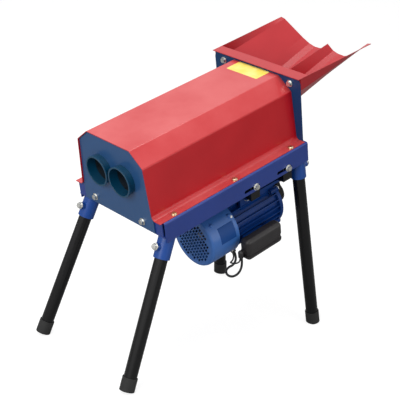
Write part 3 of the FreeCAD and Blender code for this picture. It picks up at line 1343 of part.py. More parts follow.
front_mouth, front_direction = leg_line("front", 1)
floor_level = (floor_normal.dot(front_mouth + front_direction * value("front_leg_reach"))
               - sole_depth(front_direction) + value("foot_flat"))
below_floor = Part.makeBox(2 * beyond, 2 * beyond, beyond, Vector(-beyond, -beyond, -beyond))
below_floor.Placement = Placement(floor_normal * floor_level, Rotation(Vector(0, 1, 0), value("tilt_angle")))
clamp_shapes = []
socket_outer = value("leg_radius + leg_fit + socket_wall")
socket_inner = value("leg_radius + leg_fit")
for end, side, label in (("front", 1, "front_left"), ("front", -1, "front_right"),
                         ("rear", 1, "rear_left"), ("rear", -1, "rear_right")):
    mouth, direction = leg_line(end, side)
    reach = (floor_level + sole_depth(direction) - value("foot_flat") - floor_normal.dot(mouth)) / (
        floor_normal.dot(direction))
    inserted = value("leg_insertion")
    top = mouth - direction * inserted
    upward = direction * -1
    outer = Part.makeCylinder(socket_outer, value("2 * (leg_insertion + socket_head)"), mouth, upward)
    bore = Part.makeCylinder(socket_inner, inserted + value("seat_gap"), mouth, upward)
    above = Part.makeBox(2 * beyond, 2 * beyond, beyond,
                         Vector(-beyond, -beyond, -value("member_depth + member_wall")))
    clamp_way = Vector(direction.z, 0, -direction.x).normalize()
    if end == "rear":
        clamp_way = clamp_way * -1
    clamp_base = mouth + upward * value("clamp_rise")
    boss = Part.makeCylinder(value("clamp_boss_radius"),
                             socket_outer + value("clamp_boss_height") - value("leg_radius + leg_fit"),
                             clamp_base + clamp_way * value("leg_radius + leg_fit"), clamp_way)
    boss_hole = Part.makeCylinder(value("bolt_radius + running_gap"), value("clamp_boss_height") * 5,
                                  clamp_base, clamp_way)
    socket = outer.fuse(boss).cut([bore, above, boss_hole] + rail_shapes)
    solids = sorted(socket.Solids, key=lambda piece: piece.Volume)
    keep(shaped("leg_socket_%s_tube" % label, solids[-1].removeSplitter()), "leg_socket_" + label)
    head_seat = clamp_base + clamp_way * (socket_outer + value("clamp_boss_height"))
    clamp_shapes.append(set_out(
        bolt_shape(socket_outer + value("clamp_boss_height") - value("leg_radius + seat_gap")),
        head_seat, clamp_way))
    sole = mouth + direction * reach
    tube_length = inserted + reach - value("foot_sole")
    tube = Part.makeCylinder(value("leg_radius"), tube_length, top, direction)
    tube = tube.cut(Part.makeCylinder(value("leg_radius - leg_wall"), tube_length, top, direction))
    keep(shaped("leg_tube_%s_pipe" % label, tube), "leg_tube_" + label)
    cap = Part.makeCylinder(value("foot_radius"), value("foot_height"),
                            sole - direction * value("foot_height"), direction)
    cap = cap.cut([
        Part.makeCylinder(value("leg_radius"), value("foot_height - foot_sole"),
                          sole - direction * value("foot_height"), direction), below_floor])
    keep(shaped("foot_%s_cap" % label, cap), "foot_" + label)
keep(shaped("leg_clamp_bolt_set", Part.makeCompound(clamp_shapes)), "leg_clamp_bolts")

# Stand the machine on its feet: tilt it, then bring its footprint's middle to the origin
doc.recompute()
tilt = Placement(Vector(0, 0, 0), Rotation(Vector(0, 1, 0), -value("tilt_angle")))
extent = FreeCAD.BoundBox()
for item in finished:
    turned_shape = item.Shape.copy()
    turned_shape.Placement = tilt.multiply(turned_shape.Placement)
    extent.add(turned_shape.optimalBoundingBox(False))
shift = Vector(-(extent.XMin + extent.XMax) / 2, -(extent.YMin + extent.YMax) / 2, -extent.ZMin)
stand = Placement(shift, Rotation()).multiply(tilt)
for item in finished:
    item.Placement = stand.multiply(item.Placement)
print("stand shift %.4f %.4f %.4f" % tuple(shift))
doc.recompute()

for item in doc.Objects:
    if "Invalid" in item.State or "Error" in item.State:
        raise SystemExit("%s is in error: %s" % (item.Label, item.State))
for item in finished:
    if item.Shape.isNull() or not item.Shape.isValid() or not item.Shape.Solids:
        raise SystemExit("%s has no valid solid" % item.Label)
for item in finished:
    item.Shape.exportStep("parts/%s.step" % item.Label)
print("%d pieces, %.0f x %.0f x %.0f mm" % (len(finished), extent.XLength, extent.YLength, extent.ZLength))
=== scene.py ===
"""Corn sheller on splayed tube legs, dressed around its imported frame."""
import json
import math

import bmesh
import bpy
from mathutils import Matrix, Vector


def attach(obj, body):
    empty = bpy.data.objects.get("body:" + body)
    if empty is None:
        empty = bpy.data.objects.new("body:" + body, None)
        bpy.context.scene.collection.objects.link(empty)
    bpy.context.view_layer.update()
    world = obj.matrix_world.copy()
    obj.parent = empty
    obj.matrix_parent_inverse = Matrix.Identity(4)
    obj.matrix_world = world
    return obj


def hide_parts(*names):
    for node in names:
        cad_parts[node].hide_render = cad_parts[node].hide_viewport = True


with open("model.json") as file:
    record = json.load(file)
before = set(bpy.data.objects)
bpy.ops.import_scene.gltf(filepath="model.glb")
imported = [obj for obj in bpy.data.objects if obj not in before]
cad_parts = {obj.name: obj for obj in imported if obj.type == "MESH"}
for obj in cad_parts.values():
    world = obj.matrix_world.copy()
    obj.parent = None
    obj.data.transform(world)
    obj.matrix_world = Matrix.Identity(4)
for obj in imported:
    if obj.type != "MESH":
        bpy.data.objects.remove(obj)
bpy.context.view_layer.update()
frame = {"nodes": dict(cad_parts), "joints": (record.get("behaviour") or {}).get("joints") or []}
nodes = frame["nodes"]

# The machine's own axes: along the rails, across them, and square to them. The whole machine
# stands with its feed end up, so these are read from the rotor's axis, along the rails.
ROTOR_MIDDLE = (0.240, 0.0, 0.014)
rotor_joint = next(joint for joint in frame["joints"] if joint["name"] == "rotor_spin")
along = Vector(rotor_joint["axis"]).normalized()
across = Vector((0.0, 1.0, 0.0))
square = along.cross(across).normalized()
zero = Vector(rotor_joint["pos_m"]) - along * ROTOR_MIDDLE[0] - square * ROTOR_MIDDLE[2]
machine = Matrix((
    (along.x, across.x, square.x, zero.x),
    (along.y, across.y, square.y, zero.y),
    (along.z, across.z, square.z, zero.z),
    (0.0, 0.0, 0.0, 1.0)))


# Hood: one sheet of 1.5 mm steel folded to a flat top, two chamfers, two sides and two foot
# flanges, in a red gloss enamel. A darker red along the folds is painted shade, and a pale pink
# laid on what faces up is painted light on the top and the flanges.
ENAMEL_CLOUDS_PER_M = 9.0       # shades of the coat, about 110 mm apart
ENAMEL_PEEL_PER_M = 300.0       # orange peel drawn about 3 mm wide, coarser than it is, to show
ENAMEL_PEEL_DEPTH = 0.0004
ENAMEL_EDGE = 0.0012            # ENAMEL_EDGE = 0.0012 # rounding of a coated edge, and width of the painted edge band
ENAMEL_IOR = 1.5
CLOUD_LOW, CLOUD_HIGH = 0.3, 0.7
GLOSS_BELOW, GLOSS_ABOVE = 0.03, 0.04
# Pale pink painted on the hood's up-facing faces as the light that falls on them.
PAINTED_TOP_LIGHT_HEX = "#D8C8C4"


def colour(sheet_hex):
    """An sRGB hex colour turned to linear, with full alpha."""
    parts = [int(sheet_hex[place:place + 2], 16) / 255 for place in (1, 3, 5)]
    linear = [c / 12.92 if c <= 0.04045 else ((c + 0.055) / 1.055) ** 2.4 for c in parts]
    return tuple(linear) + (1.0,)


def put(tree, kind, inputs=None, **settings):
    """Adds a node with its settings; an input is a value or the socket that feeds it."""
    node = tree.nodes.new(kind)
    for name, setting in settings.items():
        setattr(node, name, setting)
    for name, given in (inputs or {}).items():
        if isinstance(given, bpy.types.NodeSocket):
            tree.links.new(given, node.inputs[name])
        else:
            node.inputs[name].default_value = given
    return node


def blank_material(name):
    """A material with an empty tree that holds only its output."""
    material = bpy.data.materials.new(name)
    material.use_nodes = True
    material.node_tree.nodes.clear()
    output = material.node_tree.nodes.new("ShaderNodeOutputMaterial")
    return material, material.node_tree, output


def enamel(name, body_hex, painted_edge_hex, gloss, peel=0.04, dust_and_top_light_hex="#B9B2A8", dust_and_top_light=0.03, coat=0.0,
           sheen=0.5):
    """Gloss enamel on sheet steel: even colour with the edge colour painted along sharp edges, a
    painted highlight where it is paler and painted shade where it is darker, a fine orange peel
    that breaks the reflections, and a pale layer on what faces up, which is a little dust when thin
    and painted light on the top when thick."""
    material, tree, output = blank_material(name)
    place = put(tree, "ShaderNodeTexCoord")
    cloud = put(tree, "ShaderNodeTexNoise", {
        "Vector": place.outputs["Object"], "Scale": ENAMEL_CLOUDS_PER_M, "Detail": 4.0,
        "Roughness": 0.55})
    shade = put(tree, "ShaderNodeMapRange", {
        "Value": cloud.outputs["Fac"], "From Min": CLOUD_LOW, "From Max": CLOUD_HIGH,
        "To Min": 0.94, "To Max": 1.05})
    tone = put(tree, "ShaderNodeHueSaturation", {
        "Color": colour(body_hex), "Value": shade.outputs["Result"]})
    soft = put(tree, "ShaderNodeBevel", {"Radius": ENAMEL_EDGE}, samples=4)
    surface = put(tree, "ShaderNodeNewGeometry")
    facing = put(tree, "ShaderNodeVectorMath", {
        0: soft.outputs["Normal"], 1: surface.outputs["Normal"]}, operation="DOT_PRODUCT")
    # Sharp edges take the edge colour: painted highlight where it is paler than the body, painted
    # shade where it is darker.
    edge = put(tree, "ShaderNodeMapRange", {
        "Value": facing.outputs["Value"], "From Min": 0.985, "From Max": 0.80,
        "To Min": 0.0, "To Max": 0.14})
    with_painted_edge = put(tree, "ShaderNodeMix", {
        "Factor": edge.outputs["Result"], "A": tone.outputs["Color"], "B": colour(painted_edge_hex)},
        data_type="RGBA")
    # What faces up takes the dust colour: real dust at a small share, painted light on the top at a
    # large one.
    split = put(tree, "ShaderNodeSeparateXYZ", {"Vector": surface.outputs["Normal"]})
    lying = put(tree, "ShaderNodeMapRange", {
        "Value": split.outputs["Z"], "From Min": 0.35, "From Max": 1.0, "To Min": 0.0,
        "To Max": dust_and_top_light})
    dust_and_light_share = put(tree, "ShaderNodeMath", {
        0: lying.outputs["Result"], 1: cloud.outputs["Fac"]}, operation="MULTIPLY")
    with_dust_and_light = put(tree, "ShaderNodeMix", {
        "Factor": dust_and_light_share.outputs["Value"], "A": with_painted_edge.outputs["Result"], "B": colour(dust_and_top_light_hex)},
        data_type="RGBA")
    rough = put(tree, "ShaderNodeMapRange", {
        "Value": cloud.outputs["Fac"], "From Min": CLOUD_LOW, "From Max": CLOUD_HIGH,
        "To Min": gloss - GLOSS_BELOW, "To Max": gloss + GLOSS_ABOVE})
    skin = put(tree, "ShaderNodeTexNoise", {
        "Vector": place.outputs["Object"], "Scale": ENAMEL_PEEL_PER_M, "Detail": 1.0})
    bump = put(tree, "ShaderNodeBump", {
        "Height": skin.outputs["Fac"], "Strength": peel, "Distance": ENAMEL_PEEL_DEPTH,
        "Normal": soft.outputs["Normal"]})
    paint = put(tree, "ShaderNodeBsdfPrincipled", {
        "Base Color": with_dust_and_light.outputs["Result"], "Roughness": rough.outputs["Result"],
        "IOR": ENAMEL_IOR, "Specular IOR Level": sheen, "Coat Weight": coat,
        "Coat Roughness": 0.08, "Normal": bump.outputs["Normal"]})
    tree.links.new(paint.outputs["BSDF"], output.inputs["Surface"])
    return material


def dress(material, *names):
    """Gives a carried-over piece its finish."""
    for name in names:
        mesh = nodes[name].data
        if not mesh.materials:
            mesh.materials.append(material)
        for place in nodes[name].material_slots:
            place.material = material


# Second colour: painted shade along the folds. The large share of pale pink on what faces up is
# painted light, not dust.
hood_red = enamel("red_enamel_on_steel", "#C00A18", "#A81420", 0.32, peel=0.012,
                  dust_and_top_light_hex=PAINTED_TOP_LIGHT_HEX, dust_and_top_light=0.22, coat=0.15, sheen=0.4)
dress(hood_red, "hood")


# Sticker: a plain yellow sheet of thin vinyl film on the flat top, near the feed end. It is cut
# with rounded corners and stuck down flat by hand, a little off the middle.
STICKER_START, STICKER_END = 0.4305, 0.4790
STICKER_RIGHT, STICKER_LEFT = -0.050, 0.055
STICKER_THICKNESS = 0.0003
STICKER_CORNER = 0.003
HOOD_TOP = 0.163


def rounded_outline(low, high, corner, steps=6):
    """The corner points of a rounded rectangle, anticlockwise."""
    points = []
    for turn, (x, y) in enumerate((
            (high[0] - corner, high[1] - corner), (low[0] + corner, high[1] - corner),
            (low[0] + corner, low[1] + corner), (high[0] - corner, low[1] + corner))):
        for step in range(steps + 1):
            angle = math.pi / 2 * (turn + step / steps)
            points.append((x + corner * math.cos(angle), y + corner * math.sin(angle)))
    return points


def piece_from_bmesh(name, shape, placed=machine):
    """A new object from a shape in the machine's axes."""
    bmesh.ops.recalc_face_normals(shape, faces=shape.faces)
    mesh = bpy.data.meshes.new(name)
    shape.to_mesh(mesh)
    shape.free()
    mesh.transform(placed)
    piece = bpy.data.objects.new(name, mesh)
    bpy.context.scene.collection.objects.link(piece)
    return piece


def slab(outline, bottom, top):
    """A flat plate with the given outline between two levels."""
    shape = bmesh.new()
    face = shape.faces.new([shape.verts.new((x, y, bottom)) for x, y in outline])
    raised = bmesh.ops.extrude_face_region(shape, geom=[face])
    lifted = [item for item in raised["geom"] if isinstance(item, bmesh.types.BMVert)]
    bmesh.ops.translate(shape, verts=lifted, vec=(0.0, 0.0, top - bottom))
    return shape


sticker = piece_from_bmesh("yellow_sticker", slab(
    rounded_outline((STICKER_START, STICKER_RIGHT), (STICKER_END, STICKER_LEFT), STICKER_CORNER),
    HOOD_TOP, HOOD_TOP + STICKER_THICKNESS))

FADED_PATCHES_PER_M = 35.0      # patches about 30 mm apart
FILM_RIPPLES_PER_M = 140.0      # ripples about 7 mm apart
FILM_RIPPLE_DEPTH = 0.0003
FILM_GLOSS = 0.38
FILM_IOR = 1.5


def vinyl(name, film_hex, faded_hex):
    """Calendered vinyl film: even colour with a soft sheen, slightly faded in patches."""
    material, tree, output = blank_material(name)
    place = put(tree, "ShaderNodeTexCoord")
    fade = put(tree, "ShaderNodeTexNoise", {
        "Vector": place.outputs["Object"], "Scale": FADED_PATCHES_PER_M, "Detail": 3.0})
    spread = put(tree, "ShaderNodeMapRange", {
        "Value": fade.outputs["Fac"], "From Min": 0.35, "From Max": 0.7})
    mixed = put(tree, "ShaderNodeMix", {
        "Factor": spread.outputs["Result"], "A": colour(film_hex), "B": colour(faded_hex)},
        data_type="RGBA")
    ripple = put(tree, "ShaderNodeTexNoise", {
        "Vector": place.outputs["Object"], "Scale": FILM_RIPPLES_PER_M})
    bump = put(tree, "ShaderNodeBump", {
        "Height": ripple.outputs["Fac"], "Strength": 0.08, "Distance": FILM_RIPPLE_DEPTH})
    film = put(tree, "ShaderNodeBsdfPrincipled", {
        "Base Color": mixed.outputs["Result"], "Roughness": FILM_GLOSS, "IOR": FILM_IOR,
        "Normal": bump.outputs["Normal"]})
    tree.links.new(film.outputs["BSDF"], output.inputs["Surface"])
    return material


sticker.data.materials.append(vinyl("yellow_vinyl_film", "#E8CE4C", "#F0DF86"))
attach(sticker, "frame")


# Screws and bolts: pan heads of yellow passivated zinc along the hood's flanges, and bright zinc
# plating on all the others. The plating is thin, so the steel's fine scratches show through it.
PLATING_BLOOM_PER_M = 260.0     # cloudy patches about 4 mm apart
PLATING_SCRATCHES_PER_M = 900.0     # scratches about 1 mm apart, coarser than they are, to show
PLATING_SCRATCH_DEPTH = 0.0002
PLATED_EDGE = 0.0006


def plated(name, plate_hex, dull_hex, gloss):
    """Zinc plating on formed steel: bright, with a faint cloudy bloom and fine scratches."""
    material, tree, output = blank_material(name)
    place = put(tree, "ShaderNodeTexCoord")
    bloom = put(tree, "ShaderNodeTexNoise", {
        "Vector": place.outputs["Object"], "Scale": PLATING_BLOOM_PER_M, "Detail": 4.0})
    patch = put(tree, "ShaderNodeMapRange", {
        "Value": bloom.outputs["Fac"], "From Min": 0.4, "From Max": 0.65})
    tone = put(tree, "ShaderNodeMix", {
        "Factor": patch.outputs["Result"], "A": colour(plate_hex), "B": colour(dull_hex)},
        data_type="RGBA")
    rough = put(tree, "ShaderNodeMapRange", {
        "Value": bloom.outputs["Fac"], "To Min": gloss - 0.08, "To Max": gloss + 0.14})
    soft = put(tree, "ShaderNodeBevel", {"Radius": PLATED_EDGE}, samples=4)
    scratch = put(tree, "ShaderNodeTexNoise", {
        "Vector": place.outputs["Object"], "Scale": PLATING_SCRATCHES_PER_M, "Detail": 3.0})
    bump = put(tree, "ShaderNodeBump", {
        "Height": scratch.outputs["Fac"], "Strength": 0.12, "Distance": PLATING_SCRATCH_DEPTH,
        "Normal": soft.outputs["Normal"]})
    metal = put(tree, "ShaderNodeBsdfPrincipled", {
        "Base Color": tone.outputs["Result"], "Metallic": 1.0,
        "Roughness": rough.outputs["Result"], "Normal": bump.outputs["Normal"]})
    tree.links.new(metal.outputs["BSDF"], output.inputs["Surface"])
    return material


yellow_zinc = plated("yellow_passivated_zinc", "#E2D6BA", "#C6AC7A", 0.30)
bright_zinc = plated("bright_zinc_plating", "#E4E4E0", "#BDBDB8", 0.26)
dress(yellow_zinc, "hood_screws")
dress(bright_zinc, "plate_bolts", "hanger_bolts", "leg_clamp_bolts", "bearing_block_bolts",
      "motor_foot_bolts", "shield_bolts", "fan_cover_screws")


# Front plate: 3 mm steel in a slate blue enamel, set just inside the mouth of the hood.
# It is sprayed before assembly, and a paler blue is painted along its rim as a highlight.
slate_enamel = enamel("slate_blue_enamel", "#265080", "#6C8CA8", 0.31)
dress(slate_enamel, "front_plate")

# Outlet tubes: rolled rings of teal enamel on steel, with a paler teal painted at the rim as a
# highlight.
# They stand out of the front plate's two holes.
teal_enamel = enamel("teal_enamel", "#00405E", "#2E7896", 0.31)
dress(teal_enamel, "outlet_tube_left", "outlet_tube_right")

# Rails and cross members: folded 3 mm angles in a violet-blue enamel, welded to the bars between
# them. The deflector under the drum is sprayed with them.
# The paler second colour is a painted highlight along sharp edges.
rail_enamel = enamel("violet_blue_enamel", "#203C8C", "#5E6CB4", 0.31)
dress(rail_enamel, "rail_left", "rail_right", "front_cross_member", "rear_cross_member",
      "bearing_beams", "kernel_deflector")

# Leg sockets: short tubes coped and welded to the rails, in a brighter blue enamel.
# Each has a boss for the bolt that clamps its leg.
# The paler second colour is a painted highlight along sharp edges.
socket_enamel = enamel("bright_blue_enamel", "#0A4698", "#5A84D0", 0.31)
dress(socket_enamel, "leg_socket_front_left", "leg_socket_front_right", "leg_socket_rear_left",
      "leg_socket_rear_right")

# Feed plate: 3 mm steel in a dark navy enamel, with a hole for each cob.
# It is bolted between the hood's rear end and the hopper.
# The paler second colour is a painted highlight along sharp edges.
navy_enamel = enamel("dark_navy_enamel", "#0A3C6A", "#4C6890", 0.32, sheen=0.3)
dress(navy_enamel, "feed_plate")

# Hopper: one sheet of steel rolled into two troughs with a ridge between them.
# Its rose-red enamel is duller than the hood's, because the cobs rub it.
# The paler second colour is a painted highlight along sharp edges.
hopper_red = enamel("rose_red_enamel", "#AE1822", "#C45C64", 0.40)
dress(hopper_red, "hopper")


# Stripping parts under the hood: the two cob channels, the concave and the drum, in folded and
# rolled steel. They are in primer, which the cobs rub through in streaks; both its colours are
# drawn near black, as painted shade for the dark inside of the hood.
RUB_STREAKS_PER_M = (6.0, 90.0, 90.0)   # streaks about 170 mm long and 11 mm wide
PRIMER_GRAIN_PER_M = 500.0      # sprayed grain drawn about 2 mm wide, coarser than it is, to show
PRIMER_GRAIN_DEPTH = 0.0003
PRIMER_GLOSS = 0.55


def primer(name, primer_hex, rubbed_hex):
    """Primer given dark as painted shade: dull, with rubbed streaks along the way the cobs travel.
    """
    material, tree, output = blank_material(name)
    place = put(tree, "ShaderNodeTexCoord")
    drawn = put(tree, "ShaderNodeMapping", {
        "Vector": place.outputs["Object"], "Scale": RUB_STREAKS_PER_M})
    streak = put(tree, "ShaderNodeTexNoise", {
        "Vector": drawn.outputs["Vector"], "Scale": 1.0, "Detail": 5.0})
    rubbed = put(tree, "ShaderNodeMapRange", {
        "Value": streak.outputs["Fac"], "From Min": 0.5, "From Max": 0.68})
    tone = put(tree, "ShaderNodeMix", {
        "Factor": rubbed.outputs["Result"], "A": colour(primer_hex), "B": colour(rubbed_hex)},
        data_type="RGBA")
    grain = put(tree, "ShaderNodeTexNoise", {
        "Vector": place.outputs["Object"], "Scale": PRIMER_GRAIN_PER_M})
    bump = put(tree, "ShaderNodeBump", {
        "Height": grain.outputs["Fac"], "Strength": 0.2, "Distance": PRIMER_GRAIN_DEPTH})
    coat = put(tree, "ShaderNodeBsdfPrincipled", {
        "Base Color": tone.outputs["Result"], "Metallic": rubbed.outputs["Result"],
        "Roughness": PRIMER_GLOSS, "Normal": bump.outputs["Normal"]})
    tree.links.new(coat.outputs["BSDF"], output.inputs["Surface"])
    return material


# Both colours are near black: painted shade for the inside of the hood, not the primer's grey.
primer_darkened_as_shade = primer("primer_darkened_as_shade", "#16202A", "#3C444C")
dress(primer_darkened_as_shade, "cob_channel_left", "cob_channel_right", "concave", "rotor_drum")


# Shafts, rotor bars and bearing rings of turned and ground steel, and the motor's two cores of
# stacked laminations. The tool and the stacking leave rings around the axis.
GROOVE_DEPTH = 0.0003
WAVE_RADIANS = 20.0             # the wave texture turns through this in one unit of its scale


def turned_steel(name, steel_hex, line_hex, gloss, pitch_mm):
    """Machined steel: rings around the axis, drawn about six pitches apart so that they show."""
    material, tree, output = blank_material(name)
    place = put(tree, "ShaderNodeTexCoord")
    axis = put(tree, "ShaderNodeVectorMath", {0: place.outputs["Object"], 1: tuple(along)},
               operation="DOT_PRODUCT")
    line = put(tree, "ShaderNodeCombineXYZ", {"X": axis.outputs["Value"]})
    groove = put(tree, "ShaderNodeTexWave", {
        "Vector": line.outputs["Vector"], "Scale": 1000.0 / pitch_mm / WAVE_RADIANS,
        "Distortion": 1.5, "Detail": 2.0})
    tone = put(tree, "ShaderNodeMix", {
        "Factor": groove.outputs["Fac"], "A": colour(steel_hex), "B": colour(line_hex)},
        data_type="RGBA")
    bump = put(tree, "ShaderNodeBump", {
        "Height": groove.outputs["Fac"], "Strength": 0.15, "Distance": GROOVE_DEPTH})
    steel = put(tree, "ShaderNodeBsdfPrincipled", {
        "Base Color": tone.outputs["Result"], "Metallic": 1.0, "Roughness": gloss,
        "Normal": bump.outputs["Normal"]})
    tree.links.new(steel.outputs["BSDF"], output.inputs["Surface"])
    return material


shaft_steel = turned_steel("turned_shaft_steel", "#A9A9A8", "#8C8C8B", 0.32, 2.0)
bearing_steel = turned_steel("ground_bearing_steel", "#C2C3C4", "#AFB0B1", 0.18, 1.0)
core_steel = turned_steel("stacked_lamination_steel", "#6A6A6E", "#3E3E42", 0.45, 3.0)
dress(shaft_steel, "rotor_shaft", "motor_shaft", "rotor_bars")
dress(bearing_steel, "rotor_bearings", "motor_bearings")
dress(core_steel, "stator_core", "rotor_core")


# Castings: bearing blocks and pulleys in grey iron, rough from the sand, and the motor's finned
# body and shields in cast aluminium under navy enamel.
GRIT_COARSENED = 4.0            # the grain is drawn this much coarser than the grit, to show
GRIT_DEPTH = 0.0005
CAST_STAINS_PER_M = 25.0        # darker patches about 40 mm apart
CAST_EDGE = 0.0010
CAST_IOR = 1.5


def cast(name, face_hex, pit_hex, gloss, grit_mm, sheen=0.5):
    """A sand or die casting: a dull grain from the mould's grit, darker in patches."""
    material, tree, output = blank_material(name)
    place = put(tree, "ShaderNodeTexCoord")
    grit = put(tree, "ShaderNodeTexNoise", {
        "Vector": place.outputs["Object"], "Scale": 1000.0 / grit_mm / GRIT_COARSENED,
        "Detail": 5.0, "Roughness": 0.6})
    cloud = put(tree, "ShaderNodeTexNoise", {
        "Vector": place.outputs["Object"], "Scale": CAST_STAINS_PER_M, "Detail": 3.0})
    pitted = put(tree, "ShaderNodeMapRange", {
        "Value": cloud.outputs["Fac"], "From Min": 0.35, "From Max": 0.7, "To Min": 0.0,
        "To Max": 0.6})
    tone = put(tree, "ShaderNodeMix", {
        "Factor": pitted.outputs["Result"], "A": colour(face_hex), "B": colour(pit_hex)},
        data_type="RGBA")
    soft = put(tree, "ShaderNodeBevel", {"Radius": CAST_EDGE}, samples=4)
    bump = put(tree, "ShaderNodeBump", {
        "Height": grit.outputs["Fac"], "Strength": 0.3, "Distance": GRIT_DEPTH,
        "Normal": soft.outputs["Normal"]})
    body = put(tree, "ShaderNodeBsdfPrincipled", {
        "Base Color": tone.outputs["Result"], "Roughness": gloss, "IOR": CAST_IOR,
        "Specular IOR Level": sheen, "Normal": bump.outputs["Normal"]})
    tree.links.new(body.outputs["BSDF"], output.inputs["Surface"])
    return material


iron_casting = cast("grey_iron_casting", "#4A4A4C", "#2C2C2E", 0.6, 1.2)
navy_casting = cast("navy_enamelled_casting", "#083A82", "#042860", 0.34, 1.5, sheen=0.2)
dress(iron_casting, "bearing_blocks", "rotor_pulley", "motor_pulley")
dress(navy_casting, "motor_housing", "drive_end_shield", "fan_end_shield")

# Fan cover: a pressed steel cup over the fan, with a grid of slanting slots that let the air in.
# It is enamelled in a lighter blue than the motor and held by four small screws.
# The paler second colour is a painted highlight along sharp edges.
cover_enamel = enamel("cover_blue_enamel", "#3C70BC", "#94AEDC", 0.31)
dress(cover_enamel, "fan_cover")


# Cover pad and lugs: on the fan cover's upper side a shallow pad pressed outwards in a deeper
# blue, and beside it two round lugs, welded on, that hold the cover while it is sprayed.
MOTOR_SIDE, MOTOR_DROP = 0.068, 0.163
COVER_RADIUS = 0.072
PAD_START, PAD_END = 0.190, 0.241
PAD_LOW_ANGLE, PAD_HIGH_ANGLE = math.radians(144), math.radians(180)
PAD_RISE = 0.0007
PAD_SHARP = math.radians(20)
LUG_STATIONS = (0.181, 0.240)
LUG_ANGLE = math.radians(134)
LUG_RADIUS = 0.0055
LUG_RISE = 0.0035
LUG_CROWN = 0.45                # share of the lug's radius that is flat on top
LUG_SHARP = math.radians(50)


def around_motor(x, radius, angle):
    """A point around the motor's axis, in the machine's axes."""
    return Vector((x, -MOTOR_SIDE + radius * math.cos(angle),
                   -MOTOR_DROP + radius * math.sin(angle)))


def curved_pad(start, end, low_angle, high_angle, rise, steps=16):
    """A thin plate that follows the cover's curve, with its edges drawn in towards the cover."""
    shape = bmesh.new()
    slope = rise * 2
    drawn_in = slope / COVER_RADIUS
    rows = []
    for step in range(steps + 1):
        angle = low_angle + (high_angle - low_angle) * step / steps
        inner = {0: drawn_in, steps: -drawn_in}.get(step, 0.0)
        rows.append([shape.verts.new(around_motor(x, radius, angle + turn)) for x, radius, turn in (
            (start, COVER_RADIUS - rise, 0.0), (start + slope, COVER_RADIUS + rise, inner),
            (end - slope, COVER_RADIUS + rise, inner), (end, COVER_RADIUS - rise, 0.0))])
    for near_row, far_row in zip(rows, rows[1:]):
        for place in range(4):
            after = (place + 1) % 4
            shape.faces.new((near_row[place], near_row[after], far_row[after], far_row[place]))
    shape.faces.new(rows[0][::-1])
    shape.faces.new(rows[-1])
    return shape


def lug_shape(station, turns=20, rings=5):
    """A low round-topped lug on the cover."""
    shape = bmesh.new()
    foot = around_motor(station, COVER_RADIUS - LUG_RISE / 2, LUG_ANGLE)
    axis = around_motor(station, 0.0, LUG_ANGLE)
    outwards = (around_motor(station, 1.0, LUG_ANGLE) - axis).normalized()
    side = Vector((1.0, 0.0, 0.0))
    other = outwards.cross(side)
    loops = []
    for ring in range(rings + 1):
        turn = math.pi / 2 * ring / rings
        height = LUG_RISE / 2 + LUG_RISE * math.sin(turn) if ring else 0.0
        reach = LUG_RADIUS * (LUG_CROWN + (1.0 - LUG_CROWN) * math.cos(turn))
        loops.append([shape.verts.new(
            foot + outwards * height + side * reach * math.cos(2 * math.pi * spot / turns)
            + other * reach * math.sin(2 * math.pi * spot / turns)) for spot in range(turns)])
    for low_loop, high_loop in zip(loops, loops[1:]):
        for spot in range(turns):
            after = (spot + 1) % turns
            shape.faces.new((low_loop[spot], low_loop[after], high_loop[after], high_loop[spot]))
    shape.faces.new(loops[0][::-1])
    shape.faces.new(loops[-1])
    return shape


def smooth(piece, sharp_angle):
    """Shades a piece as one curved sheet, but for the edges sharper than the angle."""
    for polygon in piece.data.polygons:
        polygon.use_smooth = True
    piece.data.set_sharp_from_angle(angle=sharp_angle)


# The paler second colour is a painted highlight along sharp edges.
pad_enamel = enamel("pad_blue_enamel", "#1C4C92", "#4C74B0", 0.34, dust_and_top_light=0.0, sheen=0.15)
cover_pad = piece_from_bmesh("cover_pad", curved_pad(
    PAD_START, PAD_END, PAD_LOW_ANGLE, PAD_HIGH_ANGLE, PAD_RISE))
cover_pad.data.materials.append(pad_enamel)
smooth(cover_pad, PAD_SHARP)
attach(cover_pad, "motor_unit")
for count, station in enumerate(LUG_STATIONS, start=1):
    cover_lug = piece_from_bmesh("cover_lug_%d" % count, lug_shape(station))
    cover_lug.data.materials.append(cover_enamel)
    smooth(cover_lug, LUG_SHARP)
    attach(cover_lug, "motor_unit")

# Hanger beams and leg tubes: two folded channels that carry the motor, and the four legs' tubes.
# Both are in satin black powder coat, baked, with a fine leathery grain.
# The paler second colour is a painted highlight along sharp edges.
powder_black = enamel("black_powder_coat", "#0C0C0D", "#262628", 0.18, peel=0.05, dust_and_top_light=0.01,
                      sheen=0.36)
dress(powder_black, "hanger_beams", "leg_tube_front_left", "leg_tube_front_right",
      "leg_tube_rear_left", "leg_tube_rear_right")


# Capacitor box, its lid, the glands and the cooling fan: black plastic moulded in a mould with a
# spark-eroded texture. The capacitor in the box has a smoother white case.
MOULDING_WEAR_PER_M = 40.0      # greyed patches about 25 mm apart
MOULDING_GRAIN_DEPTH = 0.0004
MOULDING_EDGE = 0.0012
MOULDING_IOR = 1.46


